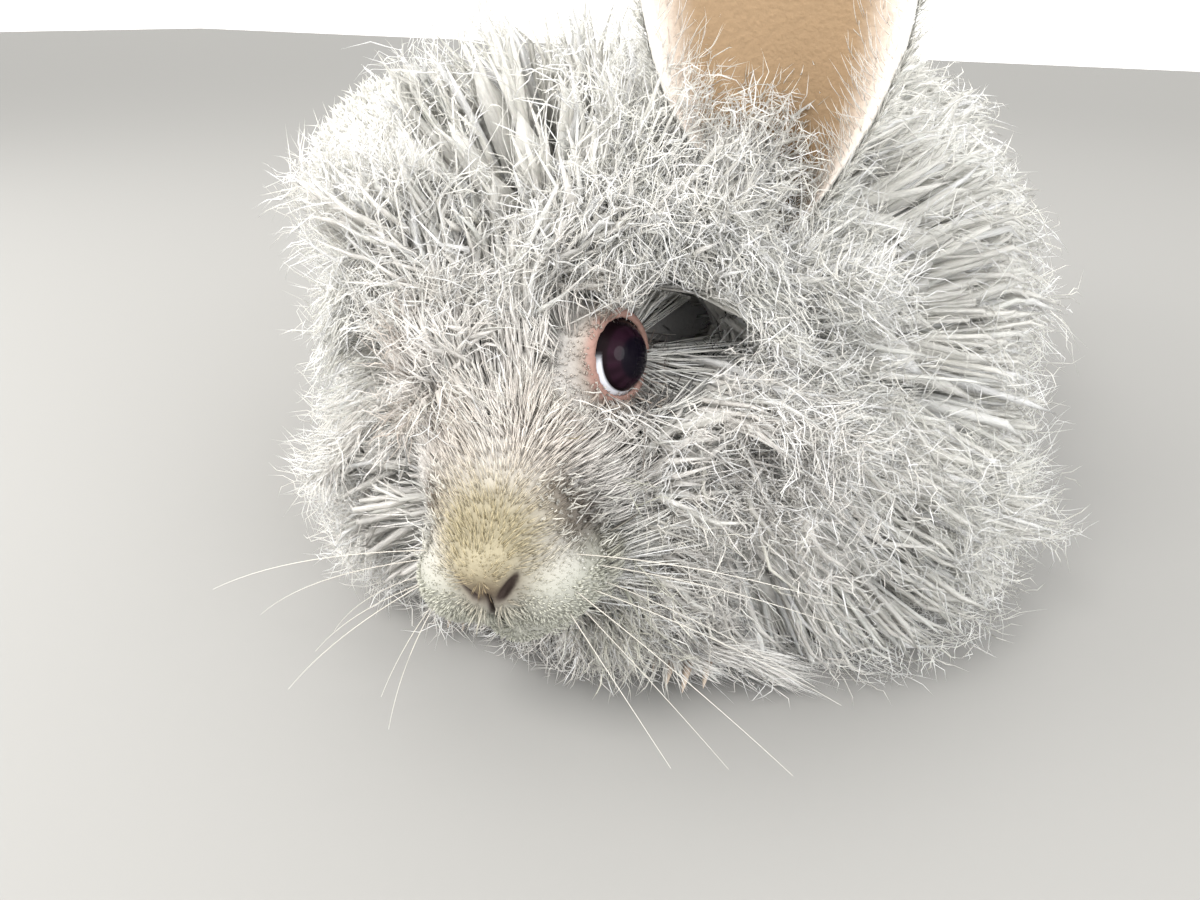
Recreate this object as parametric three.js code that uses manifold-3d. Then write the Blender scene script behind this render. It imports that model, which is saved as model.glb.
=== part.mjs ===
import * as THREE from 'three';
import { mergeVertices } from 'three/addons/utils/BufferGeometryUtils.js';
import Module from 'manifold-3d';

const wasm = await Module();
wasm.setup();

// Angora rabbit, life size, crouching with its head low. Millimetres, nose toward -Y, left side +X,
// floor at Z = 0, origin on the floor under the front of the belly.

// Joints between neighbouring parts
const gap = 0.3;

// Head placement: the notch under the nose, and the turn, nod and lean of the head in degrees
const noseX = 0;
const noseY = -150;
const noseZ = 42;
const headTurn = 8;
const headNod = 8;
const headLean = -9;

// Skull sections from the nose back: distance, half width, top, bottom (head's own axes)
const skullSections = [
  [-1.2, 4.2, 5, -5.5],
  [4, 10, 12, -10],
  [14, 16.4, 20.5, -15.5],
  [28, 20, 30, -19],
  [44, 22, 39, -20],
  [60, 22.5, 45, -18],
  [76, 20, 46, -12],
  [90, 15, 39, -2],
  [98, 7, 28, 10],
];
const skullRings = 13;
const skullSides = 16;
const skullSquareness = 2.3;

// Muzzle: whisker pads, lower lip, nose pad with its two slits, the split lip and the mouth line
const lipX = 8.2;
const lipY = 12;
const lipZ = -3.8;
const lipRadii = [11.6, 14, 9.6];
const chinY = 13.5;
const chinZ = -15.5;
const chinRadii = [9.5, 11, 5.4];
const nosePadRadii = [7.4, 5, 5.4];
const nosePadY = 1.6;
const nosePadZ = 4.2;
const nostrilX = 4.2;
const nostrilY = -2;
const nostrilZ = 3;
const nostrilRadii = [4.2, 3, 1.15];
const nostrilSlant = 42;
const splitWidth = 0.9;
const splitDepth = 7;
const splitTop = -0.5;
const splitBottom = -13;
const mouthWidth = 34;
const mouthDepth = 24;
const mouthHeight = 1.2;
const mouthZ = -10.6;
const mouthDroop = 0.012;
const mouthFall = 0.12;
const mouthSetBack = 4;
const splitSetForward = 3;

// Eyes and lids
const eyeRadius = 9.2;
const eyeX = 14.4;
const eyeY = 40;
const eyeZ = 24.5;
const eyeTurn = 16;
const eyeLift = 8;
const corneaSwell = 1.1;
const corneaReach = 0.62;
const lidTube = 1.7;
const lidAngle = 53;
const lidStretch = 1.08;
const lidSeat = 0.8;

// Ears: sections from root to tip as share of length, half width, and how far the cup closes in degrees
const earSections = [
  [0, 7.5, 150],
  [0.2, 8, 122],
  [0.4, 10, 96],
  [0.57, 17, 74],
  [0.71, 22, 57],
  [0.83, 25.5, 46],
  [0.92, 21, 40],
  [0.97, 13.5, 36],
  [1, 4, 30],
];
const earWall = 2;
const earRimShare = 0.5;
const earSides = 6;
const earRings = 8;
const earClearance = 0.6;
const earGap = 0.6;
const leftEarPath = [[12, -83, 88], [31, -85, 104], [33, -89, 128], [20, -86, 200]];
const leftEarFacing = [0.2, -0.97, 0.1];
const rightEarPath = [[-34, -88, 84], [-54, -80, 98], [-82, -58, 108], [-112, -14, 104]];
const rightEarFacing = [0.3, 0.5, -0.8];

// Coat: centre, half sizes of the core and half sizes out to the tips
const headCoat = { centre: [0, 70, 18], core: [36, 25, 42], tips: [73, 50, 63] };
const neckCoat = { centre: [0, -46, 55], core: [71, 74, 57], tips: [100, 92, 72] };
const torsoCoat = { centre: [0, 62, 53], core: [83, 134, 62], tips: [104, 150, 79] };
const tailCoat = { centre: [0, 205, 33], core: [17, 17, 18], tips: [27, 28, 30] };
const coatFullness = 3;
const coreSides = 20;
const coreRings = 12;
const tailSides = 14;
const tailRings = 9;
const bellyFlat = [34, 52];
const bellyCentre = [0, 44];
const bellySides = 16;
const skirtLift = 2.4;
const lockClearance = 3.4;
const floorRoom = 0.8;

// Locks: how many a whole form would carry, width, thickness, how far they lean along the coat
const headLocks = { count: 43, width: 28, depth: 6.5, lean: 0.42, sink: 5, seed: 11 };
const neckLocks = { count: 118, width: 29, depth: 7.5, lean: 0.42, sink: 7, seed: 23 };
const torsoLocks = { count: 66, width: 42, depth: 9, lean: 0.46, sink: 8, seed: 37 };
const tailLocks = { count: 22, width: 15, depth: 5, lean: 0.45, sink: 5, seed: 41 };
const collarRings = [
  { count: 13, share: 1, lift: 0, width: 46, depth: 6.5, seed: 53 },
  { count: 9, share: 0.76, lift: 7, width: 42, depth: 6.5, seed: 59 },
];
const collarRoot = 17;
const collarSpan = 128;
const collarArch = 6;
const collarStep = 2;
const collarCoatShare = 0.85;
const lockSides = 4;
const lockRings = 3;
const lockRootShare = 0.55;
const lockFullAt = 0.4;
const lockSpread = 0.4;
const lockTaper = 2.4;
const lockTipRoundness = 0.85;
const lockSideRoom = 2;
const lockTipRoom = 6;
const lockBendAt = 0.45;
const lockBendShare = 0.75;
const shortestLock = 0.15;
const reachVariation = 0.12;
const leanVariation = 0.3;
const girthVariation = 0.18;
const lowestLock = -0.76;
const bareFaceAngle = 64;
const bareFaceEdge = 4;
const firstCover = 0.35;
const fullCoatAngle = 92;
const earBareReach = 15;
const fringeCount = 4;
const fringeStart = 0.32;
const fringeRun = 0.21;
const fringeOut = 6.5;
const fringeWidth = 9;
const fringeDepth = 1.5;
const fringeEnd = 0.94;
const fringeRootAcross = 0.8;
const fringeBendShare = 0.45;
const fringeBendOut = 0.55;
const fringeVariation = 0.2;
const fringeOutVariation = 0.35;

// Parting surfaces between head and neck, and neck and torso: a flat middle and a flared rim
const napePoint = [-11, -71, 60];
const napeDirection = [-0.1, 0.74, -0.66];
const napeFlat = 26;
const napeFlare = 0.22;
const withersPoint = [0, -30, 60];
const withersDirection = [0, 1, -0.08];
const withersFlat = 44;
const withersFlare = 0.8;
const partingReach = 240;
const partingSides = 24;

// Legs: stations of each limb as outward from its middle line, back, up and radius
const foreX = 27;
const foreFoot = [
  [0, -114, 5.5, 6.3],
  [0, -102, 7.5, 10.5],
  [0, -88, 9, 10.5],
  [1, -74, 11, 8.4],
];
const forearm = [
  [0, -84, 8, 8.4],
  [2, -68, 22, 11.7],
  [4, -50, 35, 13],
  [5, -36, 50, 10.4],
];
const hindX = 64;
const hindFoot = [
  [0, 4, 7, 8.1],
  [0, 20, 9, 13.5],
  [-2, 72, 11, 12.8],
  [-4, 102, 13, 10.8],
];
const shank = [
  [-4, 96, 16, 11.9],
  [-7, 88, 34, 17],
  [-12, 78, 52, 13.6],
];
const limbRoundness = 0.6;
const limbSides = 9;
const limbRings = 8;

// Claws, in a bowed row across the toes
const clawLength = 8;
const clawRadius = 1.5;
const clawCount = 4;
const clawSpan = 1.3;
const clawDip = 7;
const clawRise = 2.6;
const clawSetBack = 0.6;
const clawBow = 0.06;
const clawSideRoom = 1.2;
const clawTipRoom = 3;

const toRadians = THREE.MathUtils.degToRad;
const smooth = THREE.MathUtils.smoothstep;
const point = (xyz) => new THREE.Vector3(xyz[0], xyz[1], xyz[2]);
const up = new THREE.Vector3(0, 0, 1);
const headFrame = new THREE.Matrix4()
  .makeTranslation(noseX, noseY, noseZ)
  .multiply(new THREE.Matrix4().makeRotationZ(toRadians(headTurn)))
  .multiply(new THREE.Matrix4().makeRotationX(toRadians(headNod)))
  .multiply(new THREE.Matrix4().makeRotationY(toRadians(headLean)));

function solid(geometry) {
  geometry.deleteAttribute('normal');
  geometry.deleteAttribute('uv');
  const merged = mergeVertices(geometry, 1e-4);
  const vertProperties = new Float32Array(merged.attributes.position.array);
  const triVerts = new Uint32Array(merged.index.array);
  return new wasm.Manifold(new wasm.Mesh({ numProp: 3, vertProperties, triVerts }));
}

function mapped(geometry, place) {
  const position = geometry.attributes.position;
  const vertex = new THREE.Vector3();
  for (let i = 0; i < position.count; i += 1) {
    vertex.fromBufferAttribute(position, i);
    const moved = place(vertex);
    position.setXYZ(i, moved.x, moved.y, moved.z);
  }
  return geometry;
}

// Repeatable draw between -1 and 1
function drawsFrom(seed) {
  let state = seed;
  return () => {
    state = (state * 1664525 + 1013904223) % 4294967296;
    return (state / 4294967296) * 2 - 1;
  };
}

function largest(body) {
  const pieces = body.decompose();
  pieces.sort((a, b) => b.volume() - a.volume());
  return pieces[0];
}

function meshOf(name, body, colour) {
  const kept = largest(body).getMesh();
  const geometry = new THREE.BufferGeometry();
  geometry.setAttribute('position', new THREE.BufferAttribute(kept.vertProperties, 3));
  geometry.setIndex(new THREE.BufferAttribute(kept.triVerts, 1));
  geometry.computeVertexNormals();
  const material = new THREE.MeshStandardMaterial({ color: colour, roughness: 0.85 });
  const mesh = new THREE.Mesh(geometry, material);
  mesh.name = name;
  return mesh;
}

// Rounded form with half sizes, turned and set in place
function blob(centre, radii, turn, sides = 12, rings = 8) {
  const geometry = new THREE.SphereGeometry(1, sides, rings);
  geometry.scale(radii[0], radii[1], radii[2]);
  if (turn) geometry.applyMatrix4(turn);
  geometry.translate(centre[0], centre[1], centre[2]);
  return geometry;
}

function inHead(geometry) {
  return solid(geometry.applyMatrix4(headFrame));
}

// Value of one column of the skull sections at a distance behind the nose
function skullColumn(column) {
  const curve = new THREE.SplineCurve(
    skullSections.map((section) => new THREE.Vector2(section[0], section[column])),
  );
  return (t) => curve.getPoint(t);
}

function skullBody() {
  const half = skullColumn(1);
  const top = skullColumn(2);
  const bottom = skullColumn(3);
  const geometry = new THREE.CylinderGeometry(1, 1, 1, skullSides, skullRings);
  return mapped(geometry, (vertex) => {
    const t = 0.5 - vertex.y;
    const rim = Math.min(1, Math.hypot(vertex.x, vertex.z));
    const angle = Math.atan2(vertex.z, vertex.x);
    const square = (value) => Math.sign(value) * Math.abs(value) ** (2 / skullSquareness);
    const across = square(Math.cos(angle)) * rim;
    const upward = square(-Math.sin(angle)) * rim;
    const width = half(t);
    const high = top(t).y;
    const low = bottom(t).y;
    const x = width.y * across;
    const z = (high + low) / 2 + ((high - low) / 2) * upward;
    return new THREE.Vector3(x, width.x, z);
  });
}

// Frame whose Y axis points along a direction
function along(direction) {
  const quaternion = new THREE.Quaternion().setFromUnitVectors(
    new THREE.Vector3(0, 1, 0),
    direction.clone().normalize(),
  );
  return new THREE.Matrix4().makeRotationFromQuaternion(quaternion);
}

// Everything behind a parting surface that is flat in the middle and flares toward its rim
function behind(start, direction, flat, flare, shift) {
  const profile = [
    new THREE.Vector2(0, shift),
    new THREE.Vector2(flat, shift),
    new THREE.Vector2(partingReach, shift + flare * (partingReach - flat)),
    new THREE.Vector2(partingReach, 2 * partingReach),
    new THREE.Vector2(0, 2 * partingReach),
  ];
  const geometry = new THREE.LatheGeometry(profile, partingSides);
  geometry.applyMatrix4(along(point(direction)));
  geometry.translate(start[0], start[1], start[2]);
  return solid(geometry);
}

// How far a place lies behind a parting surface, measured along its direction
function depthBehind(place, start, direction, flat, flare) {
  const axis = point(direction).normalize();
  const offset = place.clone().sub(point(start));
  const ahead = offset.dot(axis);
  const out = offset.addScaledVector(axis, -ahead).length();
  return ahead - flare * Math.max(0, out - flat);
}

const behindNape = (place) => depthBehind(place, napePoint, napeDirection, napeFlat, napeFlare);
const behindWithers = (place) => depthBehind(
  place, withersPoint, withersDirection, withersFlat, withersFlare,
);

// Place on a coat form in a direction: share 0 is the core's surface and share 1 the tips
function onCoat(form, direction, share) {
  const low = Math.max(0, -direction.z);
  const round = Math.sqrt(Math.max(1e-6, 1 - low * low));
  const spread = ((1 - low ** coatFullness) ** (1 / coatFullness)) / round;
  const size = form.core.map((core, i) => THREE.MathUtils.lerp(core, form.tips[i], share));
  return new THREE.Vector3(
    form.centre[0] + size[0] * direction.x * spread,
    form.centre[1] + size[1] * direction.y * spread,
    form.centre[2] + size[2] * direction.z,
  );
}

// One rounded coat form at a share of its depth
function coat(form, share, grow = 0, sides = coreSides, rings = coreRings) {
  const geometry = new THREE.SphereGeometry(1, sides, rings);
  return mapped(geometry, (vertex) => {
    const direction = vertex.clone().normalize();
    return onCoat(form, direction, share).addScaledVector(direction, grow);
  });
}

function keptAboveFloor(geometry, level) {
  return mapped(geometry, (vertex) => vertex.clone().setZ(Math.max(vertex.z, level)));
}

// Flat under the belly that the rabbit lies on
function bellyPad() {
  const geometry = new THREE.CylinderGeometry(1, 1, 2 * skirtLift, bellySides);
  geometry.rotateY(Math.PI / bellySides);
  geometry.rotateX(Math.PI / 2);
  geometry.scale(bellyFlat[0], bellyFlat[1], 1);
  geometry.translate(bellyCentre[0], bellyCentre[1], skirtLift);
  return solid(geometry);
}

// Flat, tapered lock along a bent course, its broad face turned outward; room is kept round it by grow
function lock(course, outward, width, depth, grow = 0) {
  const geometry = new THREE.ConeGeometry(1, 1, lockSides, lockRings);
  return solid(mapped(geometry, (vertex) => {
    const t = vertex.y + 0.5;
    const ring = Math.hypot(vertex.x, vertex.z);
    const place = course.getPoint(t);
    const tangent = course.getTangent(t);
    if (ring < 1e-6) return place.addScaledVector(tangent, t > 0.5 ? lockTipRoom * grow : 0);
    const across = new THREE.Vector3().crossVectors(tangent, outward).normalize();
    const face = new THREE.Vector3().crossVectors(across, tangent).normalize();
    const opening = Math.sin((Math.PI / 2) * Math.min(1, t / lockFullAt));
    const share = lockRootShare + (1 - lockRootShare) * opening;
    const taper = share * (1 - t ** lockTaper) ** lockTipRoundness;
    const room = lockSideRoom * grow;
    place.addScaledVector(across, (vertex.x / ring) * ((width / 2) * taper + room));
    place.addScaledVector(face, (vertex.z / ring) * ((depth / 2) * taper + room));
    place.z = Math.max(place.z, floorRoom);
    return place;
  }));
}

// Evenly spread directions over a sphere, by the golden angle, about the Y axis
function spread(count) {
  const golden = Math.PI * (3 - Math.sqrt(5));
  const directions = [];
  for (let i = 0; i < count; i += 1) {
    const y = 1 - (2 * (i + 0.5)) / count;
    const radius = Math.sqrt(1 - y * y);
    const angle = i * golden;
    directions.push(new THREE.Vector3(radius * Math.cos(angle), y, radius * Math.sin(angle)));
  }
  return directions;
}

// Locks over a coat form: lie gives the way the coat runs, length a share of the full depth
function locksOver(form, sizes, lie, length, toWorld, settle) {
  const draw = drawsFrom(sizes.seed);
  const bodies = [];
  for (const direction of spread(sizes.count)) {
    const reach = length(direction) * (1 + reachVariation * draw());
    const run = lie(direction).addScaledVector(direction, -lie(direction).dot(direction));
    const sideways = new THREE.Vector3().crossVectors(direction, run).normalize();
    const lean = sizes.lean * (1 + leanVariation * draw());
    const sway = lockSpread * draw();
    const girth = 1 + girthVariation * draw();
    if (reach < shortestLock || direction.z < lowestLock) continue;
    const heading = direction.clone().addScaledVector(run.normalize(), lean);
    const aim = heading.addScaledVector(sideways, sway * lean).normalize();
    const middle = direction.clone().lerp(aim, lockBendAt).normalize();
    const root = toWorld(onCoat(form, direction, 0).addScaledVector(direction, -sizes.sink));
    root.z = Math.max(root.z, lockClearance);
    const bend = settle(toWorld(onCoat(form, middle, lockBendShare * reach)), root);
    const tip = settle(toWorld(onCoat(form, aim, reach)), root);
    if (!bend || !tip) continue;
    const outward = toWorld(onCoat(form, direction, 1)).sub(toWorld(onCoat(form, direction, 0)));
    const course = new THREE.QuadraticBezierCurve3(root, bend, tip);
    const grow = sizes.grow ?? 0;
    bodies.push(lock(course, outward.normalize(), sizes.width * girth, sizes.depth * girth, grow));
  }
  return bodies;
}

function joined(body, pieces) {
  return pieces.reduce((whole, piece) => whole.add(piece), body);
}

function eyeAxis(side) {
  const turn = toRadians(eyeTurn);
  const lift = toRadians(eyeLift);
  return new THREE.Vector3(
    side * Math.cos(turn) * Math.cos(lift),
    -Math.sin(turn) * Math.cos(lift),
    Math.sin(lift),
  );
}

// Eyeball with the cornea swelling out round its axis
function eyeBody(side, grow) {
  const axis = eyeAxis(side);
  const geometry = new THREE.SphereGeometry(1, 12, 8);
  geometry.applyQuaternion(new THREE.Quaternion().setFromUnitVectors(new THREE.Vector3(0, 1, 0), axis));
  return inHead(mapped(geometry, (vertex) => {
    const direction = vertex.clone().normalize();
    const facing = direction.dot(axis);
    const radius = eyeRadius + grow + corneaSwell * smooth(facing, corneaReach, 1);
    return direction.multiplyScalar(radius).add(new THREE.Vector3(side * eyeX, eyeY, eyeZ));
  }));
}

function lid(side) {
  const axis = eyeAxis(side);
  const opening = toRadians(lidAngle);
  const reach = eyeRadius + gap + lidTube * lidSeat;
  const geometry = new THREE.TorusGeometry(reach * Math.sin(opening), lidTube, 5, 16);
  geometry.scale(lidStretch, 1, 1);
  const quaternion = new THREE.Quaternion().setFromUnitVectors(new THREE.Vector3(0, 0, 1), axis);
  geometry.applyQuaternion(quaternion);
  const centre = new THREE.Vector3(side * eyeX, eyeY, eyeZ);
  centre.addScaledVector(axis, reach * Math.cos(opening));
  geometry.translate(centre.x, centre.y, centre.z);
  return inHead(geometry);
}

function mouthCut() {
  const geometry = new THREE.BoxGeometry(mouthWidth, mouthDepth, mouthHeight, 8, 3, 1);
  return inHead(mapped(geometry, (vertex) => {
    const y = vertex.y + mouthSetBack;
    const drop = mouthDroop * vertex.x * vertex.x + mouthFall * Math.max(0, y);
    return new THREE.Vector3(vertex.x, y, vertex.z + mouthZ - drop);
  }));
}

function nostrilCut(side) {
  const slant = new THREE.Matrix4().makeRotationY(toRadians(-side * nostrilSlant));
  return inHead(blob([side * nostrilX, nostrilY, nostrilZ], nostrilRadii, slant, 12, 8));
}

function splitCut() {
  const geometry = new THREE.BoxGeometry(splitWidth, splitDepth, splitTop - splitBottom);
  geometry.translate(0, splitDepth / 2 - splitSetForward, (splitTop + splitBottom) / 2);
  return inHead(geometry);
}

function face() {
  let body = inHead(skullBody());
  body = body.add(inHead(blob([0, nosePadY, nosePadZ], nosePadRadii)));
  body = body.add(inHead(blob([0, chinY, chinZ], chinRadii)));
  for (const side of [-1, 1]) {
    body = body.add(inHead(blob([side * lipX, lipY, lipZ], lipRadii)));
  }
  body = body.subtract(mouthCut()).subtract(splitCut());
  for (const side of [-1, 1]) {
    body = body.subtract(nostrilCut(side));
    body = body.add(lid(side));
  }
  return body;
}

// Section of an ear part way along its list: share of length, half width and cup angle in degrees
const earCurve = new THREE.CatmullRomCurve3(earSections.map(point), false, 'centripetal');

// Frame of an ear along its course: place, way along, way across and the way the cup opens
function earFrame(path, facing, t) {
  const course = new THREE.CatmullRomCurve3(path.map(point));
  const place = course.getPoint(t);
  const axis = course.getTangent(t);
  const front = point(facing);
  front.addScaledVector(axis, -front.dot(axis)).normalize();
  const across = new THREE.Vector3().crossVectors(axis, front);
  return { place, axis, front, across };
}

// Place on the ear: part way along, -1 to 1 from rim to rim, and how far out from the wall's middle
function onEar(path, facing, t, across, outward) {
  const section = earCurve.getPoint(t);
  const frame = earFrame(path, facing, THREE.MathUtils.clamp(section.x, 0, 1));
  const half = section.y;
  const cup = toRadians(section.z);
  const bend = half / Math.sin(Math.min(cup, Math.PI / 2));
  const angle = across * cup;
  const place = frame.place.clone();
  place.addScaledVector(frame.across, Math.sin(angle) * (bend + outward));
  place.addScaledVector(frame.front, bend - Math.cos(angle) * (bend + outward));
  return place;
}

// Ear cup: a curved wall from the root to the tip, nearly closed at the root and open above
function earBody(path, facing, grow) {
  const geometry = new THREE.BoxGeometry(2, 1, 1, earSides, 1, earRings);
  return solid(mapped(geometry, (vertex) => {
    const t = vertex.z + 0.5;
    const rim = Math.abs(vertex.x);
    const wall = (earWall / 2) * (1 - earRimShare * rim ** 3) + grow;
    const wide = rim > 0.99 ? 1 + (grow / earCurve.getPoint(t).y) * earClearance : 1;
    const place = onEar(path, facing, t, vertex.x * wide, Math.sign(vertex.y) * wall);
    const end = Math.abs(vertex.z) > 0.49 ? Math.sign(vertex.z) * grow : 0;
    return place.addScaledVector(earFrame(path, facing, t).axis, end);
  }));
}

// Long pale hairs on the rims of an ear, as a row of thin overlapping locks on each side
function earFringe(path, facing, seed, grow) {
  const draw = drawsFrom(seed);
  const bodies = [];
  for (const side of [-1, 1]) {
    for (let i = 0; i < fringeCount; i += 1) {
      const step = (i + fringeVariation * draw()) / (fringeCount - 1);
      const t = fringeStart + (fringeEnd - fringeRun - fringeStart) * step;
      const run = fringeRun * (1 + fringeVariation * draw());
      const lift = fringeOut * (1 + fringeOutVariation * draw());
      const root = onEar(path, facing, t, side * fringeRootAcross, 0);
      const out = onEar(path, facing, t, side, 0).sub(root).normalize();
      const bend = onEar(path, facing, t + fringeBendShare * run, side, 0);
      bend.addScaledVector(out, fringeBendOut * lift);
      const tip = onEar(path, facing, Math.min(1, t + run), side, 0).addScaledVector(out, lift);
      const faceOut = earFrame(path, facing, t).front.negate();
      const course = new THREE.QuadraticBezierCurve3(root, bend, tip);
      bodies.push(lock(course, faceOut, fringeWidth, fringeDepth, grow));
    }
  }
  return bodies;
}

// Limb: a rounded tube through a few stations of place and radius, flat where it meets the floor
function limb(stations, grow) {
  const path = new THREE.CatmullRomCurve3(stations.map((s) => new THREE.Vector3(s[0], s[1], s[2])));
  const widths = new THREE.SplineCurve(stations.map((s, i) => new THREE.Vector2(i, s[3])));
  const geometry = new THREE.SphereGeometry(1, limbSides, limbRings);
  geometry.rotateX(Math.PI / 2);
  return mapped(geometry, (vertex) => {
    const t = (1 + vertex.z) / 2;
    const ring = Math.min(1, Math.hypot(vertex.x, vertex.y));
    const centre = path.getPoint(t);
    const tangent = path.getTangent(t);
    const side = new THREE.Vector3(0, 0, 1).cross(tangent).normalize();
    const upward = tangent.clone().cross(side).normalize();
    const angle = Math.atan2(vertex.y, vertex.x);
    const radius = (widths.getPoint(t).y + grow) * ring ** limbRoundness;
    centre.addScaledVector(side, radius * Math.cos(angle));
    centre.addScaledVector(upward, radius * Math.sin(angle));
    centre.addScaledVector(tangent, grow * vertex.z);
    if (centre.z < 0) centre.z = 0;
    return centre;
  });
}

// Claws before the first station of a foot
function claws(toe, pawRadius, grow) {
  const bodies = [];
  for (let i = 0; i < clawCount; i += 1) {
    const across = ((i + 0.5) / clawCount - 0.5) * pawRadius * clawSpan;
    const thick = clawRadius + clawSideRoom * grow;
    const geometry = new THREE.ConeGeometry(thick, clawLength + clawTipRoom * grow, 5, 1);
    geometry.rotateX(toRadians(180 + clawDip));
    geometry.translate(toe[0] + across, toe[1] + clawSetBack + clawBow * across * across, clawRise);
    bodies.push(solid(geometry));
  }
  return bodies;
}

// Stations of a limb on one side of the body
function onSide(stations, middle, side) {
  return stations.map(([out, y, z, radius]) => [side * (middle + out), y, z, radius]);
}

function leg(foot, limbAbove, middle, side, grow) {
  const footStations = onSide(foot, middle, side);
  const pawRadius = foot[1][3];
  const body = solid(limb(footStations, grow)).add(solid(limb(onSide(limbAbove, middle, side), grow)));
  return joined(body, claws(footStations[0], pawRadius, grow));
}

const foreleg = (side, grow) => leg(foreFoot, forearm, foreX, side, grow);
const hindleg = (side, grow) => leg(hindFoot, shank, hindX, side, grow);

const partings = {
  nape: (shift) => behind(napePoint, napeDirection, napeFlat, napeFlare, shift),
  withers: (shift) => behind(withersPoint, withersDirection, withersFlat, withersFlare, shift),
};

const legs = {};
const legRoom = {};
for (const [word, side] of [['left', 1], ['right', -1]]) {
  legs[`foreleg_${word}`] = foreleg(side, 0);
  legs[`hindleg_${word}`] = hindleg(side, 0);
  legRoom[`foreleg_${word}`] = foreleg(side, gap);
  legRoom[`hindleg_${word}`] = hindleg(side, gap);
}

const earPaths = [[leftEarPath, leftEarFacing, 5], [rightEarPath, rightEarFacing, 7]];
const earWith = (grow) => earPaths.map(([path, facing, seed]) => joined(
  earBody(path, facing, grow), earFringe(path, facing, seed, grow),
));
const ears = earWith(0);
const earRoom = earWith(earGap);

// Distance from a place to the nearest ear's middle line
function earDistance(place) {
  let nearest = Infinity;
  for (const [path] of earPaths) {
    const course = new THREE.CatmullRomCurve3(path.map(point));
    for (const sample of course.getPoints(20)) {
      nearest = Math.min(nearest, sample.distanceTo(place));
    }
  }
  return nearest;
}

// Locks are kept on their own side of a parting, off the floor and out of the ear cups
function settler(room) {
  return (place, root) => {
    if (earDistance(place) < earBareReach || room(root) < -lockClearance) return null;
    const short = lockClearance - room(place);
    if (short > 0) place.addScaledVector(place.clone().sub(root).normalize(), -short);
    if (place.z < lockClearance) place.z = lockClearance;
    return place;
  };
}

const asItIs = (place) => place;
const inHeadFrame = (place) => place.applyMatrix4(headFrame);
const faceAxis = new THREE.Vector3(0, -0.97, -0.2).normalize();

function headCover(direction) {
  const angle = THREE.MathUtils.radToDeg(direction.angleTo(faceAxis));
  const first = smooth(angle, bareFaceAngle - bareFaceEdge, bareFaceAngle);
  return firstCover * first + (1 - firstCover) * smooth(angle, bareFaceAngle, fullCoatAngle);
}

function headLie(direction) {
  const brow = smooth(-direction.y, 0.1, 0.6) * smooth(direction.z, 0.3, 0.8);
  return new THREE.Vector3(1.2 * direction.x, 0.9 - 1.7 * brow, 0.25 - 0.9 * Math.abs(direction.x));
}

// Place in front of the nape parting: angle from straight below, distance from its axis and lift
function onNape(angle, distance, lift) {
  const axis = point(napeDirection).normalize();
  const across = new THREE.Vector3().crossVectors(axis, up).normalize();
  const rise = new THREE.Vector3().crossVectors(across, axis);
  const ahead = napeFlare * Math.max(0, distance - napeFlat) - lockClearance - lift;
  const place = point(napePoint).addScaledVector(axis, ahead);
  place.addScaledVector(across, distance * Math.sin(angle));
  place.addScaledVector(rise, -distance * Math.cos(angle));
  return place;
}

// Whether a place lies inside a coat form taken at a share of its depth
function insideCoat(form, share, place) {
  const parts = place.toArray().map((value, i) => {
    const size = THREE.MathUtils.lerp(form.core[i], form.tips[i], share);
    return ((value - form.centre[i]) / size) ** 2;
  });
  return parts[0] + parts[1] + parts[2] < 1 && place.z > lockClearance;
}

// Collar of cheek and throat wool: rings of locks that fan out in front of the nape
function collarOver(ring) {
  const draw = drawsFrom(ring.seed);
  const bodies = [];
  for (let i = 0; i < ring.count; i += 1) {
    const angle = toRadians(collarSpan * (2 * ((i + 0.5 + 0.25 * draw()) / ring.count) - 1));
    let reach = collarRoot;
    while (insideCoat(neckCoat, collarCoatShare, onNape(angle, reach, ring.lift))) reach += collarStep;
    reach = Math.max(reach, 2 * collarRoot) * ring.share * (1 + 0.06 * draw());
    const girth = 1 + 0.15 * draw();
    const swing = angle + 0.08 * draw();
    const root = onNape(angle, collarRoot, ring.lift * 0.6);
    const bend = onNape(angle, 0.55 * reach, ring.lift + collarArch);
    const tip = onNape(swing, reach, ring.lift);
    if (earDistance(tip) < earBareReach) continue;
    bend.z = Math.max(bend.z, lockClearance);
    tip.z = Math.max(tip.z, lockClearance);
    const course = new THREE.QuadraticBezierCurve3(root, bend, tip);
    const outward = point(napeDirection).negate();
    bodies.push(lock(course, outward, ring.width * girth, ring.depth * girth));
  }
  return bodies;
}

const headCore = inHead(coat(headCoat, 0));
const headRoom = (place) => -behindNape(place);
const headCoatLocks = locksOver(
  headCoat, headLocks, headLie, headCover, inHeadFrame, settler(headRoom),
);
const collar = collarRings.flatMap(collarOver);
let head = joined(joined(face().add(headCore), headCoatLocks), collar);
head = head.subtract(partings.nape(-gap / 2));

const neckRoom = (place) => Math.min(behindNape(place), -behindWithers(place));
const neckLie = (direction) => new THREE.Vector3(
  0.3 * direction.x, 0.4 + 0.6 * smooth(direction.y, -0.6, 0.2), -0.6,
);
const neckCoatLocks = locksOver(
  neckCoat, neckLocks, neckLie, () => 1, asItIs, settler(neckRoom),
);
const neckCore = solid(keptAboveFloor(coat(neckCoat, 0), skirtLift));
let neck = joined(neckCore, neckCoatLocks).intersect(partings.nape(gap / 2));
neck = neck.subtract(partings.withers(-gap / 2));

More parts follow.
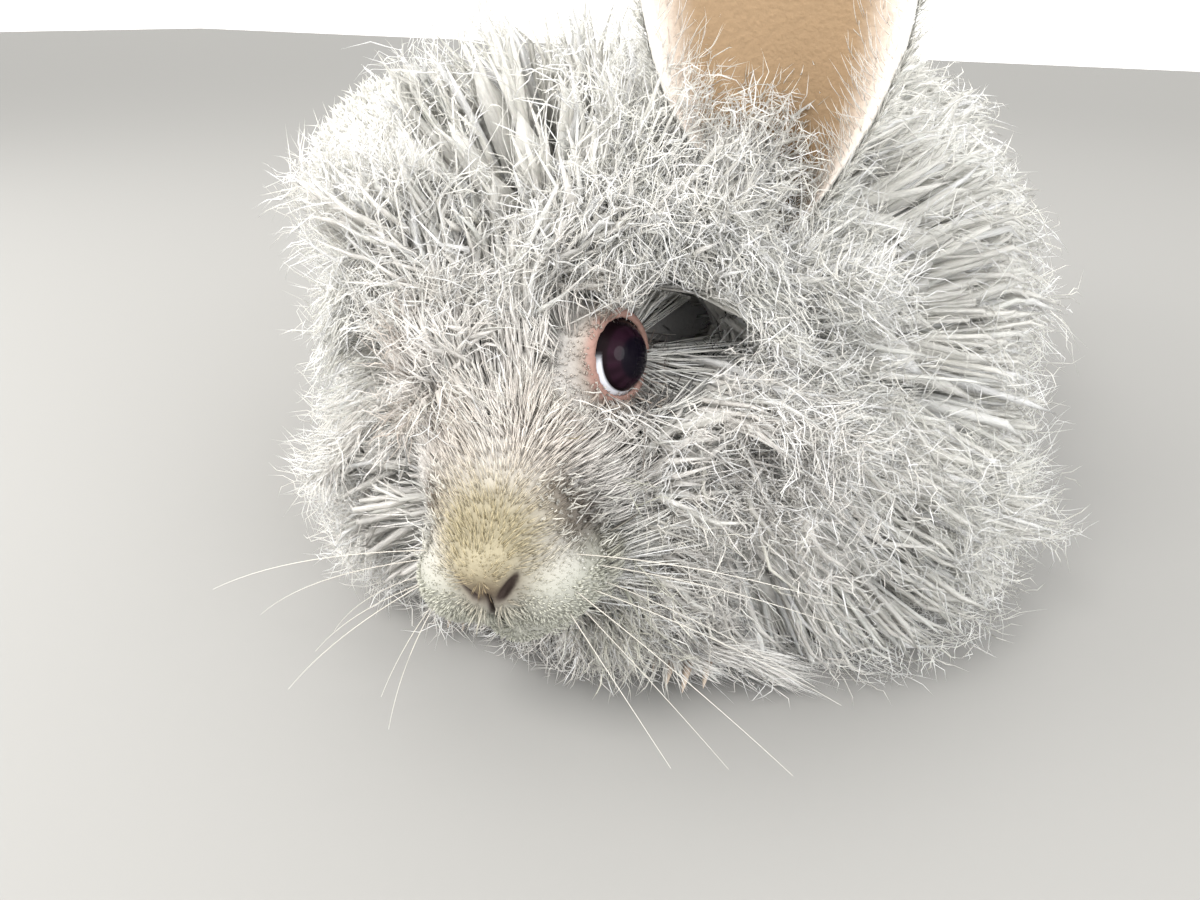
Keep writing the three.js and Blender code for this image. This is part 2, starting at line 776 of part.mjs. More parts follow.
const tailPlace = point(tailCoat.centre);
const torsoRoom = (place) => Math.min(
  behindWithers(place), place.distanceTo(tailPlace) - tailCoat.tips[1],
);
const torsoLie = (direction) => new THREE.Vector3(
  0.2 * direction.x, 1 - 0.8 * smooth(direction.y, 0.5, 1), -0.35 - 0.5 * smooth(direction.y, 0.5, 1),
);
const torsoCoatLocks = locksOver(
  torsoCoat, torsoLocks, torsoLie, () => 1, asItIs, settler(torsoRoom),
);
const torsoCore = solid(keptAboveFloor(coat(torsoCoat, 0), skirtLift));
let torso = joined(torsoCore, torsoCoatLocks).intersect(partings.withers(gap / 2));
torso = torso.add(bellyPad());

const tailLie = (direction) => new THREE.Vector3(0, 0.5, -0.6 + 0.3 * direction.z);
const tailCover = (direction) => smooth(direction.y, -0.35, 0);
const tailLocksWith = (grow) => locksOver(
  tailCoat, { ...tailLocks, grow }, tailLie, tailCover, asItIs, settler(() => lockClearance),
);
const tailRoot = solid(keptAboveFloor(coat(torsoCoat, 0, gap), skirtLift - gap));
const tailCore = solid(coat(tailCoat, 0, 0, tailSides, tailRings));
const tail = joined(tailCore, tailLocksWith(0)).subtract(tailRoot);
torso = torso.subtract(joined(solid(coat(tailCoat, 0, gap, tailSides, tailRings)), tailLocksWith(gap)));

for (const room of [...earRoom, ...ears, ...Object.values(legRoom)]) {
  head = head.subtract(room);
  neck = neck.subtract(room);
  torso = torso.subtract(room);
}
for (const side of [-1, 1]) {
  head = head.subtract(eyeBody(side, gap));
}

const rabbit = new THREE.Group();
rabbit.name = 'angora_rabbit';
const woolColour = '#d8d3cb';
const earColour = '#d9bca6';
const eyeColour = '#1c1216';
const legColour = '#d9d2c8';
rabbit.add(meshOf('head', head, '#d2cabe'));
rabbit.add(meshOf('neck', neck, woolColour));
rabbit.add(meshOf('torso', torso, woolColour));
rabbit.add(meshOf('tail', tail, woolColour));
rabbit.add(meshOf('eye_left', eyeBody(1, 0), eyeColour));
rabbit.add(meshOf('eye_right', eyeBody(-1, 0), eyeColour));
rabbit.add(meshOf('ear_left', ears[0], earColour));
rabbit.add(meshOf('ear_right', ears[1], earColour));
for (const [name, body] of Object.entries(legs)) {
  rabbit.add(meshOf(name, body, legColour));
}

export default rabbit;
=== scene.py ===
import math
import bpy
import numpy as np
from mathutils import Matrix, Vector, kdtree


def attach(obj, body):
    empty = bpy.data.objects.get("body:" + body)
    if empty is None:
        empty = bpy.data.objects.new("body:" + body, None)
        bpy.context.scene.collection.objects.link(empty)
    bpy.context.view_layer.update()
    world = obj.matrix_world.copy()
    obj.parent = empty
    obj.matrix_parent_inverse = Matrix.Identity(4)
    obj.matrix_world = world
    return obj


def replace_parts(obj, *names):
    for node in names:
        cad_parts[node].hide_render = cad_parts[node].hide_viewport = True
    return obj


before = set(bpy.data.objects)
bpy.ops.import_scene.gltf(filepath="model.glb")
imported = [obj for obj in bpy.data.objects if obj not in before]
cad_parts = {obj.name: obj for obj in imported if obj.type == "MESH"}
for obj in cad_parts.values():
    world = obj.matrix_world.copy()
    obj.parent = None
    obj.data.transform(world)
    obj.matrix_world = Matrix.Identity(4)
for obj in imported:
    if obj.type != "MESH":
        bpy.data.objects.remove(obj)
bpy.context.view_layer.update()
print("frame loaded")

# Lengths below are in millimetres and become metres when a mesh is made
metre = 0.001


def lengthOf(v):
    return np.linalg.norm(v, axis=-1)


def unit(v):
    return v / np.maximum(lengthOf(v)[..., None], 1e-9)


def ramp(x, low, high):
    t = np.clip((x - low) / (high - low), 0, 1)
    return t * t * (3 - 2 * t)


def mix(a, b, t):
    return a + (b - a) * t


def vec(*xyz):
    return np.array(xyz, dtype=float)


# Where the head sits: its own axes are x left, y back, z up, from the notch under the nose
headPose = {"nose": (0, -150, 42), "turn": 8, "nod": 8, "lean": -9}
headAxes = np.array(
    Matrix.Rotation(math.radians(headPose["turn"]), 3, "Z")
    @ Matrix.Rotation(math.radians(headPose["nod"]), 3, "X")
    @ Matrix.Rotation(math.radians(headPose["lean"]), 3, "Y")
)
headNose = np.array(headPose["nose"], float)


def intoHead(p):
    return (p - headNose) @ headAxes


def outOfHead(p):
    return p @ headAxes.T + headNose


# Distance fields of simple rounded forms
def blobAt(p, centre, radii):
    q = (p - np.asarray(centre)) / np.asarray(radii)
    far = lengthOf(q)
    return far * (far - 1) / np.maximum(lengthOf(q / np.asarray(radii)), 1e-6)


def taperAt(p, start, end, startRadius, endRadius):
    start, end = np.asarray(start, float), np.asarray(end, float)
    line = end - start
    t = np.clip(((p - start) @ line) / (line @ line), 0, 1)
    return lengthOf(p - start - t[..., None] * line) - mix(startRadius, endRadius, t)


def joinForms(a, b, k):
    h = np.clip(0.5 + 0.5 * (b - a) / k, 0, 1)
    return mix(b, a, h) - k * h * (1 - h)


def cutForm(a, b, k):
    return -joinForms(-a, b, k)


# Skull: distance behind the nose, half width, top, bottom
skull = {
    "sections": [
        (-1.2, 3.4, 4.2, -4.6),
        (4, 8.6, 10.6, -9),
        (14, 14.6, 18.6, -14),
        (28, 18, 28, -17.5),
        (44, 20.4, 37, -18.5),
        (60, 20.8, 43, -16.5),
        (76, 18, 44, -10.5),
        (90, 13, 37, 0),
        (98, 6, 27, 11),
    ],
    "front": 1.2,
    "back": 98,
    "squareness": 2.3,
    "lip": ((8.0, 11.6, -3.9), (9.9, 12.2, 8.6)),
    "chin": ((0, 13.5, -15), (8, 9.5, 4.8)),
    "nosePad": ((0, 1.9, 4.1), (6.2, 4.2, 4.7)),
    "nostril": ((4.7, -1.9, 2.0), (4.9, 2.8, 1.0), 48),
    "mouthZ": -10.8,
}


def hermite(p1, p2, m1, m2, w):
    w2, w3 = w * w, w ** 3
    return p1 * (2 * w3 - 3 * w2 + 1) + m1 * (w3 - 2 * w2 + w) + p2 * (3 * w2 - 2 * w3) + m2 * (w3 - w2)


def smoothTable(rows, steps=200):
    rows = np.array(rows, float)
    n = len(rows)
    t = np.linspace(0, n - 1, steps)
    i = np.clip(t.astype(int), 0, n - 2)
    a, b = rows[i], rows[i + 1]
    before, after = rows[np.maximum(i - 1, 0)], rows[np.minimum(i + 2, n - 1)]
    return hermite(a, b, (b - before) / 2, (after - a) / 2, (t - i)[:, None])


skullTable = smoothTable(skull["sections"])


def skullAt(p):
    y = p[..., 1]
    wide, top, low = (np.interp(y, skullTable[:, 0], skullTable[:, k]) for k in (1, 2, 3))
    half, middle = (top - low) / 2, (top + low) / 2
    s = skull["squareness"]
    m = (np.abs(p[..., 0] / wide) ** s + np.abs((p[..., 2] - middle) / half) ** s) ** (1 / s)
    side = (m - 1) * np.minimum(wide, half)
    return np.maximum(side, np.maximum(-skull["front"] - y, y - skull["back"]))


# Eyes, in the head's axes
eye = {"radius": 9.2, "x": 14.4, "y": 40, "z": 24.5, "turn": 24, "lift": 8, "opening": 55, "lid": 0.8,
       "shell": 1.4}


def eyeAxis(side):
    turn, lift = math.radians(eye["turn"]), math.radians(eye["lift"])
    return vec(side * math.cos(turn) * math.cos(lift), -math.sin(turn) * math.cos(lift), math.sin(lift))


def eyeCentre(side):
    return vec(side * eye["x"], eye["y"], eye["z"])


def ballAt(p, side, grow):
    return lengthOf(p - eyeCentre(side)) - eye["radius"] - grow


def lidAt(p, side):
    axis = eyeAxis(side)
    opening = math.radians(eye["opening"])
    reach = eye["radius"] + 0.5
    q = p - (eyeCentre(side) + axis * reach * math.cos(opening))
    along = q @ axis
    ring = lengthOf(q - along[..., None] * axis) - reach * math.sin(opening)
    return np.hypot(ring, along) - eye["lid"]


def openingAt(p, side):
    edge = eye["radius"] * math.cos(math.radians(eye["opening"])) + 0.2
    return np.maximum(edge - (p - eyeCentre(side)) @ eyeAxis(side), ballAt(p, side, 3))


# Skin: one closed surface drawn from a distance field on a grid that is fine at the face
grid = {
    "x": [(-99, -33, 3), (-33, 33, 0.6), (33, 100, 3)],
    "y": [(-162, -94, 0.6), (-94, -61, 1.5), (-61, 222, 3)],
    "z": [(-3, 18, 3), (18, 84, 0.6), (84, 139, 2.2)],
    "far": 50,
}


def stations(parts):
    return np.concatenate([np.arange(a, b, step) for a, b, step in parts])


axisX, axisY, axisZ = (stations(grid[k]) for k in "xyz")
field = np.full((len(axisX), len(axisY), len(axisZ)), grid["far"], np.float32)


def shapeField(centre, reach, change):
    spans = []
    for axis, c, r in zip((axisX, axisY, axisZ), centre, np.broadcast_to(reach, 3)):
        spans.append(slice(np.searchsorted(axis, c - r), np.searchsorted(axis, c + r) + 1))
    block = tuple(spans)
    p = np.stack(np.meshgrid(axisX[spans[0]], axisY[spans[1]], axisZ[spans[2]], indexing="ij"), -1)
    field[block] = change(field[block], p)


def addForm(distance, centre, reach, k):
    shapeField(centre, reach, lambda old, p: joinForms(old, distance(p), k))


def shapeHead(change, distance, centre, reach, k):
    place = outOfHead(np.asarray(centre, float))
    shapeField(place, reach, lambda old, p: change(old, distance(intoHead(p)), k))


bodyForms = {
    "blobs": [
        ((0, 62, 50), (62, 116, 43), 12),
        ((36, 112, 46), (28, 46, 36), 14),
        ((-36, 112, 46), (28, 46, 36), 14),
        ((0, -38, 52), (47, 52, 42), 22),
        ((0, 190, 32), (10, 18, 10), 10),
    ],
    "throat": ((-9, -82, 66), (0, -42, 58), 27, 42, 18),
    "legs": [
        ((27, -107, 7.5), (27, -82, 8.5), 6.2, 7.6, 3),
        ((27, -82, 9), (31, -48, 38), 7.5, 10, 4),
        ((64, 12, 8.5), (61, 94, 12), 9.2, 10, 3),
        ((60, 92, 14), (52, 78, 48), 12, 16, 8),
    ],
    "toes": [
        (27, -112.5, 6.2, 2.7, 3.6),
        (64, 6.5, 7, 3.2, 4.3),
    ],
    "toeLength": 11,
}

for centre, radii, k in bodyForms["blobs"]:
    addForm(lambda p: blobAt(p, centre, radii), centre, np.array(radii) + 30, k)
start, end, r0, r1, k = bodyForms["throat"]
addForm(lambda p: taperAt(p, start, end, r0, r1), (np.array(start) + np.array(end)) / 2, 100, k)
for side in (1, -1):
    flip = vec(side, 1, 1)
    for start, end, r0, r1, k in bodyForms["legs"]:
        a, b = np.array(start) * flip, np.array(end) * flip
        addForm(lambda p: taperAt(p, a, b, r0, r1), (a + b) / 2, lengthOf(b - a) / 2 + 30, k)
    for x, y, z, r, spread in bodyForms["toes"]:
        for i in range(4):
            off = (i - 1.5) * spread
            a = vec(side * x + off, y + 0.12 * off * off, z - 1.6)
            b = a + vec(-0.2 * off, bodyForms["toeLength"], 1.2)
            addForm(lambda p: taperAt(p, a, b, r, r + 0.3), a, 26, 1.2)

shapeHead(joinForms, skullAt, (0, 48, 12), 75, 8)
for side in (1, -1):
    lipCentre, lipRadii = np.array(skull["lip"][0]) * vec(side, 1, 1), skull["lip"][1]
    shapeHead(joinForms, lambda p: blobAt(p, lipCentre, lipRadii), lipCentre, 26, 3)
for name, reach, k in (("chin", 24, 2.5), ("nosePad", 18, 2)):
    shapeHead(joinForms, lambda p: blobAt(p, *skull[name]), skull[name][0], reach, k)


def mouthAt(p):
    drop = 0.012 * p[..., 0] ** 2 + 0.12 * np.maximum(0, p[..., 1])
    line = np.abs(p[..., 2] - skull["mouthZ"] + drop) - 0.55
    return np.maximum(line, np.maximum(np.abs(p[..., 0]) - 15, p[..., 1] - 13))


def splitAt(p):
    wide = np.abs(p[..., 0]) - mix(0.35, 1.1, ramp(-p[..., 2], 2, 12))
    return np.maximum(wide, np.maximum(p[..., 1] - 3.4, np.abs(p[..., 2] + 6) - 6.5))


def nostrilAt(p, side):
    centre, radii, slant = skull["nostril"]
    a = math.radians(side * slant)
    q = p - np.array(centre) * vec(side, 1, 1)
    turned = np.stack([q[..., 0] * math.cos(a) + q[..., 2] * math.sin(a), q[..., 1],
                       -q[..., 0] * math.sin(a) + q[..., 2] * math.cos(a)], -1)
    return blobAt(turned, (0, 0, 0), radii)


shapeHead(cutForm, mouthAt, (0, 4, -12), 24, 0.8)
shapeHead(cutForm, splitAt, (0, 0, -6), 16, 0.8)
for side in (1, -1):
    centre = eyeCentre(side)
    shapeHead(cutForm, lambda p: nostrilAt(p, side), (side * 4.4, -2, 2.4), 10, 0.7)
    shapeHead(joinForms, lambda p: ballAt(p, side, eye["shell"]), centre, 18, 4)
    shapeHead(cutForm, lambda p: openingAt(p, side), centre, 18, 0.6)
    shapeHead(cutForm, lambda p: ballAt(p, side, 0.15), centre, 16, 0.3)
    shapeHead(joinForms, lambda p: lidAt(p, side), centre, 18, 1.4)
    shapeHead(cutForm, lambda p: ballAt(p, side, 0.1), centre, 16, 0.2)

# The feet end in flats a little above the floor
shapeField((0, 30, 0), (200, 400, 20), lambda old, p: cutForm(old, p[..., 2] - 0.4, 2))
print("skin field", field.shape)


def drawSurface(values, axes):
    below = values < 0
    nx, ny, nz = np.array(values.shape) - 1
    count = np.zeros((nx, ny, nz), np.int8)
    for i, j, k in np.ndindex(2, 2, 2):
        count += below[i:nx + i, j:ny + j, k:nz + k]
    active = (count > 0) & (count < 8)
    cells = np.argwhere(active)
    number = np.full(active.shape, -1, np.int64)
    number[active] = np.arange(len(cells))
    total, hits, quads = np.zeros((len(cells), 3)), np.zeros(len(cells)), []
    for axis in range(3):
        others = [a for a in range(3) if a != axis]
        for step in np.ndindex(2, 2):
            a = cells.copy()
            a[:, others] += step
            b = a.copy()
            b[:, axis] += 1
            fa, fb = values[tuple(a.T)], values[tuple(b.T)]
            cross = (fa < 0) != (fb < 0)
            t = (fa / np.where(cross, fa - fb, 1))[:, None]
            pa, pb = (np.stack([axes[d][q[:, d]] for d in range(3)], -1) for q in (a, b))
            total[cross] += mix(pa, pb, t)[cross]
            hits[cross] += 1
        lead, tail = [slice(None)] * 3, [slice(None)] * 3
        lead[axis], tail[axis] = slice(0, -1), slice(1, None)
        edges = np.argwhere(below[tuple(lead)] != below[tuple(tail)])
        pair = edges[:, others]
        edges = edges[((pair > 0) & (pair < np.array(number.shape)[others])).all(1)]
        corners = []
        for step in ((-1, -1), (0, -1), (0, 0), (-1, 0)):
            c = edges.copy()
            c[:, others] += step
            corners.append(number[tuple(c.T)])
        quad = np.stack(corners, -1)
        inside = below[tuple(edges.T)]
        turned = ~inside if axis == 1 else inside
        quads.append(np.where(turned[:, None], quad, quad[:, ::-1]))
    return total / hits[:, None], np.concatenate(quads)


skinPoints, skinQuads = drawSurface(field, (axisX, axisY, axisZ))
print("skin", len(skinPoints), "points", len(skinQuads), "faces")

# Ears: sections from root to tip as share of length, half width and how far the cup closes in degrees
ear = {
    "sections": [(0, 7.5, 150), (0.2, 8, 122), (0.4, 10, 96), (0.57, 17, 74), (0.71, 22, 57),
                 (0.83, 25.5, 46), (0.92, 21, 40), (0.97, 13.5, 36), (1, 4, 30)],
    "wall": 1.5,
    "thinning": 0.55,
    "rows": 70,
    "columns": 34,
    "left": ([(12, -83, 88), (29, -85, 104), (29, -89, 128), (18, -86, 200)], (0.2, -0.97, 0.1)),
    "right": ([(-34, -88, 84), (-54, -80, 98), (-82, -58, 108), (-112, -14, 104)], (0.3, 0.5, -0.8)),
}
earTable = smoothTable(ear["sections"], 60)
earTable[:, 0] = np.maximum.accumulate(earTable[:, 0])


def courseAt(path, t):
    path = np.array(path, float)
    ends = np.vstack([2 * path[0] - path[1], path, 2 * path[-1] - path[-2]])
    n = len(path)
    s = np.clip(t, 0, 1) * (n - 1)
    i = np.clip(s.astype(int), 0, n - 2)
    p0, p1, p2, p3 = ends[i], ends[i + 1], ends[i + 2], ends[i + 3]
    d0, d1, d2 = (np.sqrt(lengthOf(b - a))[..., None] for a, b in ((p0, p1), (p1, p2), (p2, p3)))
    m1 = ((p1 - p0) / d0 - (p2 - p0) / (d0 + d1) + (p2 - p1) / d1) * d1
    m2 = ((p2 - p1) / d1 - (p3 - p1) / (d1 + d2) + (p3 - p2) / d2) * d1
    return hermite(p1, p2, m1, m2, (s - i)[..., None])


def earFrameAt(path, facing, t):
    near, facing = np.minimum(t + 0.01, 1), np.array(facing, float)
    axis = unit(courseAt(path, near) - courseAt(path, near - 0.02))
    front = unit(facing - axis * (axis @ facing)[..., None])
    return courseAt(path, t), axis, front, np.cross(axis, front)


def onEar(path, facing, t, across, outward):
    half, cup = (np.interp(t, earTable[:, 0], earTable[:, k]) for k in (1, 2))
    cup = np.radians(cup)
    place, axis, front, side = earFrameAt(path, facing, t)
    bend = half / np.sin(np.minimum(cup, math.pi / 2))
    angle = across * cup
    return (place + side * (np.sin(angle) * (bend + outward))[..., None]
            + front * (bend - np.cos(angle) * (bend + outward))[..., None])


def earShell(name):
    path, facing = ear[name]
    across = np.sin(np.linspace(-math.pi / 2, math.pi / 2, ear["columns"]))
    tt, aa = np.meshgrid(np.linspace(0, 1, ear["rows"]), across, indexing="ij")
    wall = ear["wall"] / 2 * (1 - ear["thinning"] * np.abs(aa) ** 3)
    points = np.vstack([onEar(path, facing, tt, aa, w).reshape(-1, 3) for w in (wall, -wall)])
    idx = np.arange(tt.size).reshape(tt.shape)
    outer = np.stack([idx[:-1, :-1], idx[1:, :-1], idx[1:, 1:], idx[:-1, 1:]], -1).reshape(-1, 4)
    quads = [outer, (outer + tt.size)[:, ::-1]]
    for edge, flip in ((idx[:, 0], True), (idx[:, -1], False), (idx[0], False), (idx[-1], True)):
        q = np.stack([edge[:-1], edge[1:], edge[1:] + tt.size, edge[:-1] + tt.size], -1)
        quads.append(q[:, ::-1] if flip else q)
    return points, np.vstack(quads), np.tile(aa.ravel(), 2), np.repeat([0.0, 1.0], tt.size)


# The coat: rounded forms that its tips reach to, and hollows in it
coat = {
    "head": ((0, 70, 20), (29, 20, 34), (63, 47, 64)),
    "cover": (40, 84),
    "lopside": 0.16,
    "cheek": ((40, 50, -8), (30, 31, 32), 12),
    "bangs": ((27, 46, 52), (22, 19, 17), 8),
    "brow": ((-14, 32, 32), (9, 15, 11), 6),
    "neck": ((4, -46, 55), (91, 84, 72)),
    "skirt": ((3, -42, 16), (96, 75, 28)),
    "torso": ((0, 62, 53), (101, 145, 77)),
    "tail": ((0, 205, 33), (25, 26, 28)),
    "hollow": ((25, 41, 31.5), (43, 44, 25), 6.5, 4.5),
    "hollowEnd": ((43, 44, 25), (60, 46, 8), 4.5, 1.5),
    "furrow": ((13.5, 11, 12.5), (20.5, 12.5, -1), 3.0, 4.6),
    "streak": ((6, 20, 25), (23, 27, 18), 2.6, 3.4),
    "cave": ((31, 49, 28), (31, 66, 19), 7, 4.5),
    "hollowSight": (((28, 52, 27), 3.6), ((34, 53, 24.5), 3.6), ((39, 54, 22), 2.4)),
    # The place behind the left eye whose coat is painted near black, as painted shade in the deep hollow
    "shadow": ((28, 57, 25), (13, 15, 11)),
    "taupe": ((6, 9, 14), (8, 20, 21), 4, 4),
    "eyeBay": ((16, 38.5, 25), (15, 15, 15), 3),
    "eyeSight": ((18, 36, 26), (33, -8, 50), 8.5, 11),
    "earBay": ((31, -93, 138), (44, -190, 158), 19, 21),
    "lobes": (15, 3.4),
}
faceAxis = unit(vec(0, -0.97, -0.2))

# Colours of skin and coat, worked out from the place on the body; hollow, furrow, lip, nostril and split are
# painted shade, and lidFur is partly painted shade
tint = {
    "wool": (0.965, 0.958, 0.925),
    "woolShade": (0.92, 0.905, 0.88),
    "face": (0.95, 0.93, 0.905),
    # Painted shade: the near-black colour of the coat in the hollow behind the left eye
    "hollow": (0.05, 0.05, 0.055),
    # Painted shade: the dark colour of the furrow beside the nose
    "furrow": (0.14, 0.11, 0.09),
    "taupe": (0.78, 0.70, 0.62),
    "cream": (0.57, 0.50, 0.33),
    "noseTip": (0.27, 0.18, 0.10),
    # Painted shade: the lips' white fur is painted greyer
    "lip": (0.66, 0.66, 0.58),
    # Fur round the lids: partly its own brownish colour, partly painted shade
    "lidFur": (0.52, 0.43, 0.36),
    "lidRim": (0.30, 0.165, 0.135),
    "earSkin": (0.295, 0.20, 0.115),
    "earRim": (0.78, 0.70, 0.64),
    "mouth": (0.30, 0.17, 0.14),
    # Painted shade: near black in the nostrils and the cleft of the lip
    "nostril": (0.03, 0.017, 0.014),
    "split": (0.045, 0.0255, 0.021),
}
# How strong each coloured mark is, and over what distance it fades: some are the coat's own colour, others
# painted shade
markAndShadeFades = {"hollow": (0.85, 2.0), "furrow": (0.9, 1.6), "taupe": (0.45, 4), "lidFur": (0.75, 2.6),
         "nostril": (0.95, 1 / 3), "split": (0.9, 0.4), "mouth": (0.85, 1 / 2.2)}


def softNoise(p, scale, seed):
    table = np.random.default_rng(seed).random((32, 32, 32)) * 2 - 1
    q = p / scale + seed * 7.3
    cell = np.floor(q).astype(int)
    f = q - cell
    f = f * f * (3 - 2 * f)
    total = 0.0
    for corner in np.ndindex(2, 2, 2):
        share = np.where(corner, f, 1 - f).prod(-1)
        x, y, z = np.moveaxis((cell + corner) % 32, -1, 0)
        total = total + share * table[x, y, z]
    return total


def bothSides(h):
    return np.concatenate([np.abs(h[..., :1]), h[..., 1:]], -1)


def paint(base, name, share):
    return mix(base, np.array(tint[name]), np.asarray(share)[..., None])


# Paints a colour that fades out with distance from a form, for the coat's own markings and for painted shade
def paintMarkAndShade(base, name, distance):
    strength, width = markAndShadeFades[name]
    return paint(base, name, strength * np.exp(-np.maximum(0, distance) / width))


def coatColour(p):
    h = intoHead(p)
    m = bothSides(h)
    x, y, z = (h[..., k] for k in range(3))
    ahead = ramp(y, -20, -10)
    base = np.broadcast_to(np.array(tint["wool"]), p.shape)
    base = paint(base, "woolShade", 0.22 + 0.22 * softNoise(p, 38, 3))
    base = paint(base, "face", ramp(-y, -52, -20) * ahead)
    # Painted shade: the coat in the deep hollow behind the left eye is painted near black
    base = paintMarkAndShade(base, "hollow", blobAt(h, *coat["shadow"]))
    # Painted shade: the ground of the furrow beside the nose is painted dark
    base = paintMarkAndShade(base, "furrow", taperAt(m, *coat["furrow"]) - 0.5)
    base = paintMarkAndShade(base, "taupe", taperAt(m, *coat["taupe"]))
    # Fur round the lids is painted brownish-grey: partly its own colour, partly painted shade
    base = paintMarkAndShade(base, "lidFur", lidAt(m, 1) - 1.5)
    # Painted shade: the fur of the lips is painted greyer than the wool
    base = paint(base, "lip", 0.9 * ramp(-z, -6, 1) * ramp(-y, -22, -8) * ahead)
    noseRing = np.maximum(0, np.hypot(x / 12.5, (z - 9) / 12) - 0.35)
    noseArea = np.exp(-3 * noseRing ** 2) * ramp(-y, -18, -5) * ahead * ramp(z, -2.5, 2.5)
    base = paint(base, "cream", 0.95 * noseArea)
    tipArea = np.exp(-((x / 6) ** 2 + ((z - 0.8) / 4.0) ** 2)) * ramp(-y, -4, 1.5) * ahead
    return np.clip(paint(base, "noseTip", 0.8 * tipArea), 0, 1)


def skinColour(p):
    h = intoHead(p)
    front = ramp(-h[..., 1], -44, -30) * ramp(h[..., 1], -20, -10)
    # The skin under the coat is painted darker than the coat, most of all on the face, as painted shade in
    # the gaps between tufts
    base = coatColour(p) * mix(0.86, 0.5, front)[..., None]
    for side in (1, -1):
        rim = np.exp(-(np.maximum(0, lidAt(h, side)) / 0.8) ** 2)
        # Lid rims in their own colour, and the nostrils painted near black as painted shade
        base = paintMarkAndShade(paint(base, "lidRim", 0.9 * rim), "nostril", nostrilAt(h, side))
    # The cleft of the lip painted near black as painted shade, and the mouth line in its own colour
    return paintMarkAndShade(paintMarkAndShade(base, "split", splitAt(h)), "mouth", mouthAt(h))


# Meshes from arrays
def makeMesh(name, points, corners, starts, sizes, colours, uvs=None, strand=None):
    mesh = bpy.data.meshes.new(name)
    mesh.vertices.add(len(points))
    mesh.vertices.foreach_set("co", (points * metre).astype(np.float32).ravel())
    mesh.loops.add(len(corners))
    mesh.loops.foreach_set("vertex_index", corners.astype(np.int32))
    mesh.polygons.add(len(starts))
    mesh.polygons.foreach_set("loop_start", starts.astype(np.int32))
    mesh.polygons.foreach_set("loop_total", sizes.astype(np.int32))
    mesh.polygons.foreach_set("use_smooth", np.full(len(starts), True))
    layer = mesh.attributes.new("coat", "FLOAT_COLOR", "POINT")
    full = np.ones((len(points), 4), np.float32)
    full[:, :3] = colours
    layer.data.foreach_set("color", full.ravel())
    if strand is not None:
        layer = mesh.attributes.new("strand", "FLOAT_VECTOR", "POINT")
        layer.data.foreach_set("vector", strand.astype(np.float32).ravel())
        layer = mesh.uv_layers.new(name="OFBake")
        layer.data.foreach_set("uv", uvs.astype(np.float32).ravel())
    mesh.update(calc_edges=True)
    mesh.validate()
    piece = bpy.data.objects.new(name, mesh)
    bpy.context.scene.collection.objects.link(piece)
    return piece


def quadMesh(name, points, quads, colours):
    count = len(quads)
    return makeMesh(name, points, quads.ravel(), np.arange(count) * 4, np.full(count, 4), colours)


# Every loose piece rides on the one body and shows one material
def dress(piece, material):
    piece.data.materials.append(material)
    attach(piece, "root")
    return piece


# Materials
def setInputs(node, values):
    for name, value in values.items():
        node.inputs[name].default_value = value
    return node


def newMaterial(name, values):
    material = bpy.data.materials.new(name)
    material.use_nodes = True
    nodes, links = material.node_tree.nodes, material.node_tree.links
    return material, nodes, links, setInputs(nodes["Principled BSDF"], values)


def attributeIn(nodes, name):
    node = nodes.new("ShaderNodeAttribute")
    node.attribute_name = name
    return node


def bumpFrom(nodes, links, height, shader, strength, distance):
    bump = setInputs(nodes.new("ShaderNodeBump"), {"Strength": strength, "Distance": distance})
    links.new(height, bump.inputs["Height"])
    links.new(bump.outputs["Normal"], shader.inputs["Normal"])


def coatMaterial(name, roughness, glow, streak=0.0):
    material, nodes, links, shader = newMaterial(name, {"Roughness": roughness, "Specular IOR Level": 0.1})
    tone = attributeIn(nodes, "coat").outputs["Color"]
    if streak:
        hairs = setInputs(nodes.new("ShaderNodeTexNoise"), {"Scale": 3.2, "Detail": 3, "Distortion": 0.6})
        links.new(attributeIn(nodes, "strand").outputs["Vector"], hairs.inputs["Vector"])
        lights = setInputs(nodes.new("ShaderNodeMapRange"),
                           {"From Min": 0.32, "From Max": 0.68, "To Min": 1 - streak, "To Max": 1.05})
        links.new(hairs.outputs["Fac"], lights.inputs["Value"])
        scaled = nodes.new("ShaderNodeVectorMath")
        scaled.operation = "SCALE"
        links.new(tone, scaled.inputs[0])
        links.new(lights.outputs["Result"], scaled.inputs["Scale"])
        tone = scaled.outputs["Vector"]
        bumpFrom(nodes, links, hairs.outputs["Fac"], shader, 0.7, 0.0005)
    links.new(tone, shader.inputs["Base Color"])
    if glow:
        through = nodes.new("ShaderNodeBsdfTranslucent")
        links.new(tone, through.inputs["Color"])
        both = setInputs(nodes.new("ShaderNodeMixShader"), {"Fac": glow})
        links.new(shader.outputs["BSDF"], both.inputs[1])
        links.new(through.outputs["BSDF"], both.inputs[2])
        links.new(both.outputs["Shader"], nodes["Material Output"].inputs["Surface"])
    return material


def skinMaterial():
    finish = {"Roughness": 0.75, "Specular IOR Level": 0.3}
    material, nodes, links, shader = newMaterial("short_fur_skin", finish)
    fine = setInputs(nodes.new("ShaderNodeTexNoise"), {"Scale": 900, "Detail": 4})
    links.new(nodes.new("ShaderNodeTexCoord").outputs["Object"], fine.inputs["Vector"])
    shade = nodes.new("ShaderNodeMix")
    shade.data_type = "RGBA"
    shade.blend_type = "MULTIPLY"
    shade.inputs["Factor"].default_value = 0.15
    links.new(attributeIn(nodes, "coat").outputs["Color"], shade.inputs[6])
    links.new(fine.outputs["Fac"], shade.inputs[7])
    links.new(shade.outputs[2], shader.inputs["Base Color"])
    bumpFrom(nodes, links, fine.outputs["Fac"], shader, 0.5, 0.0006)
    return material


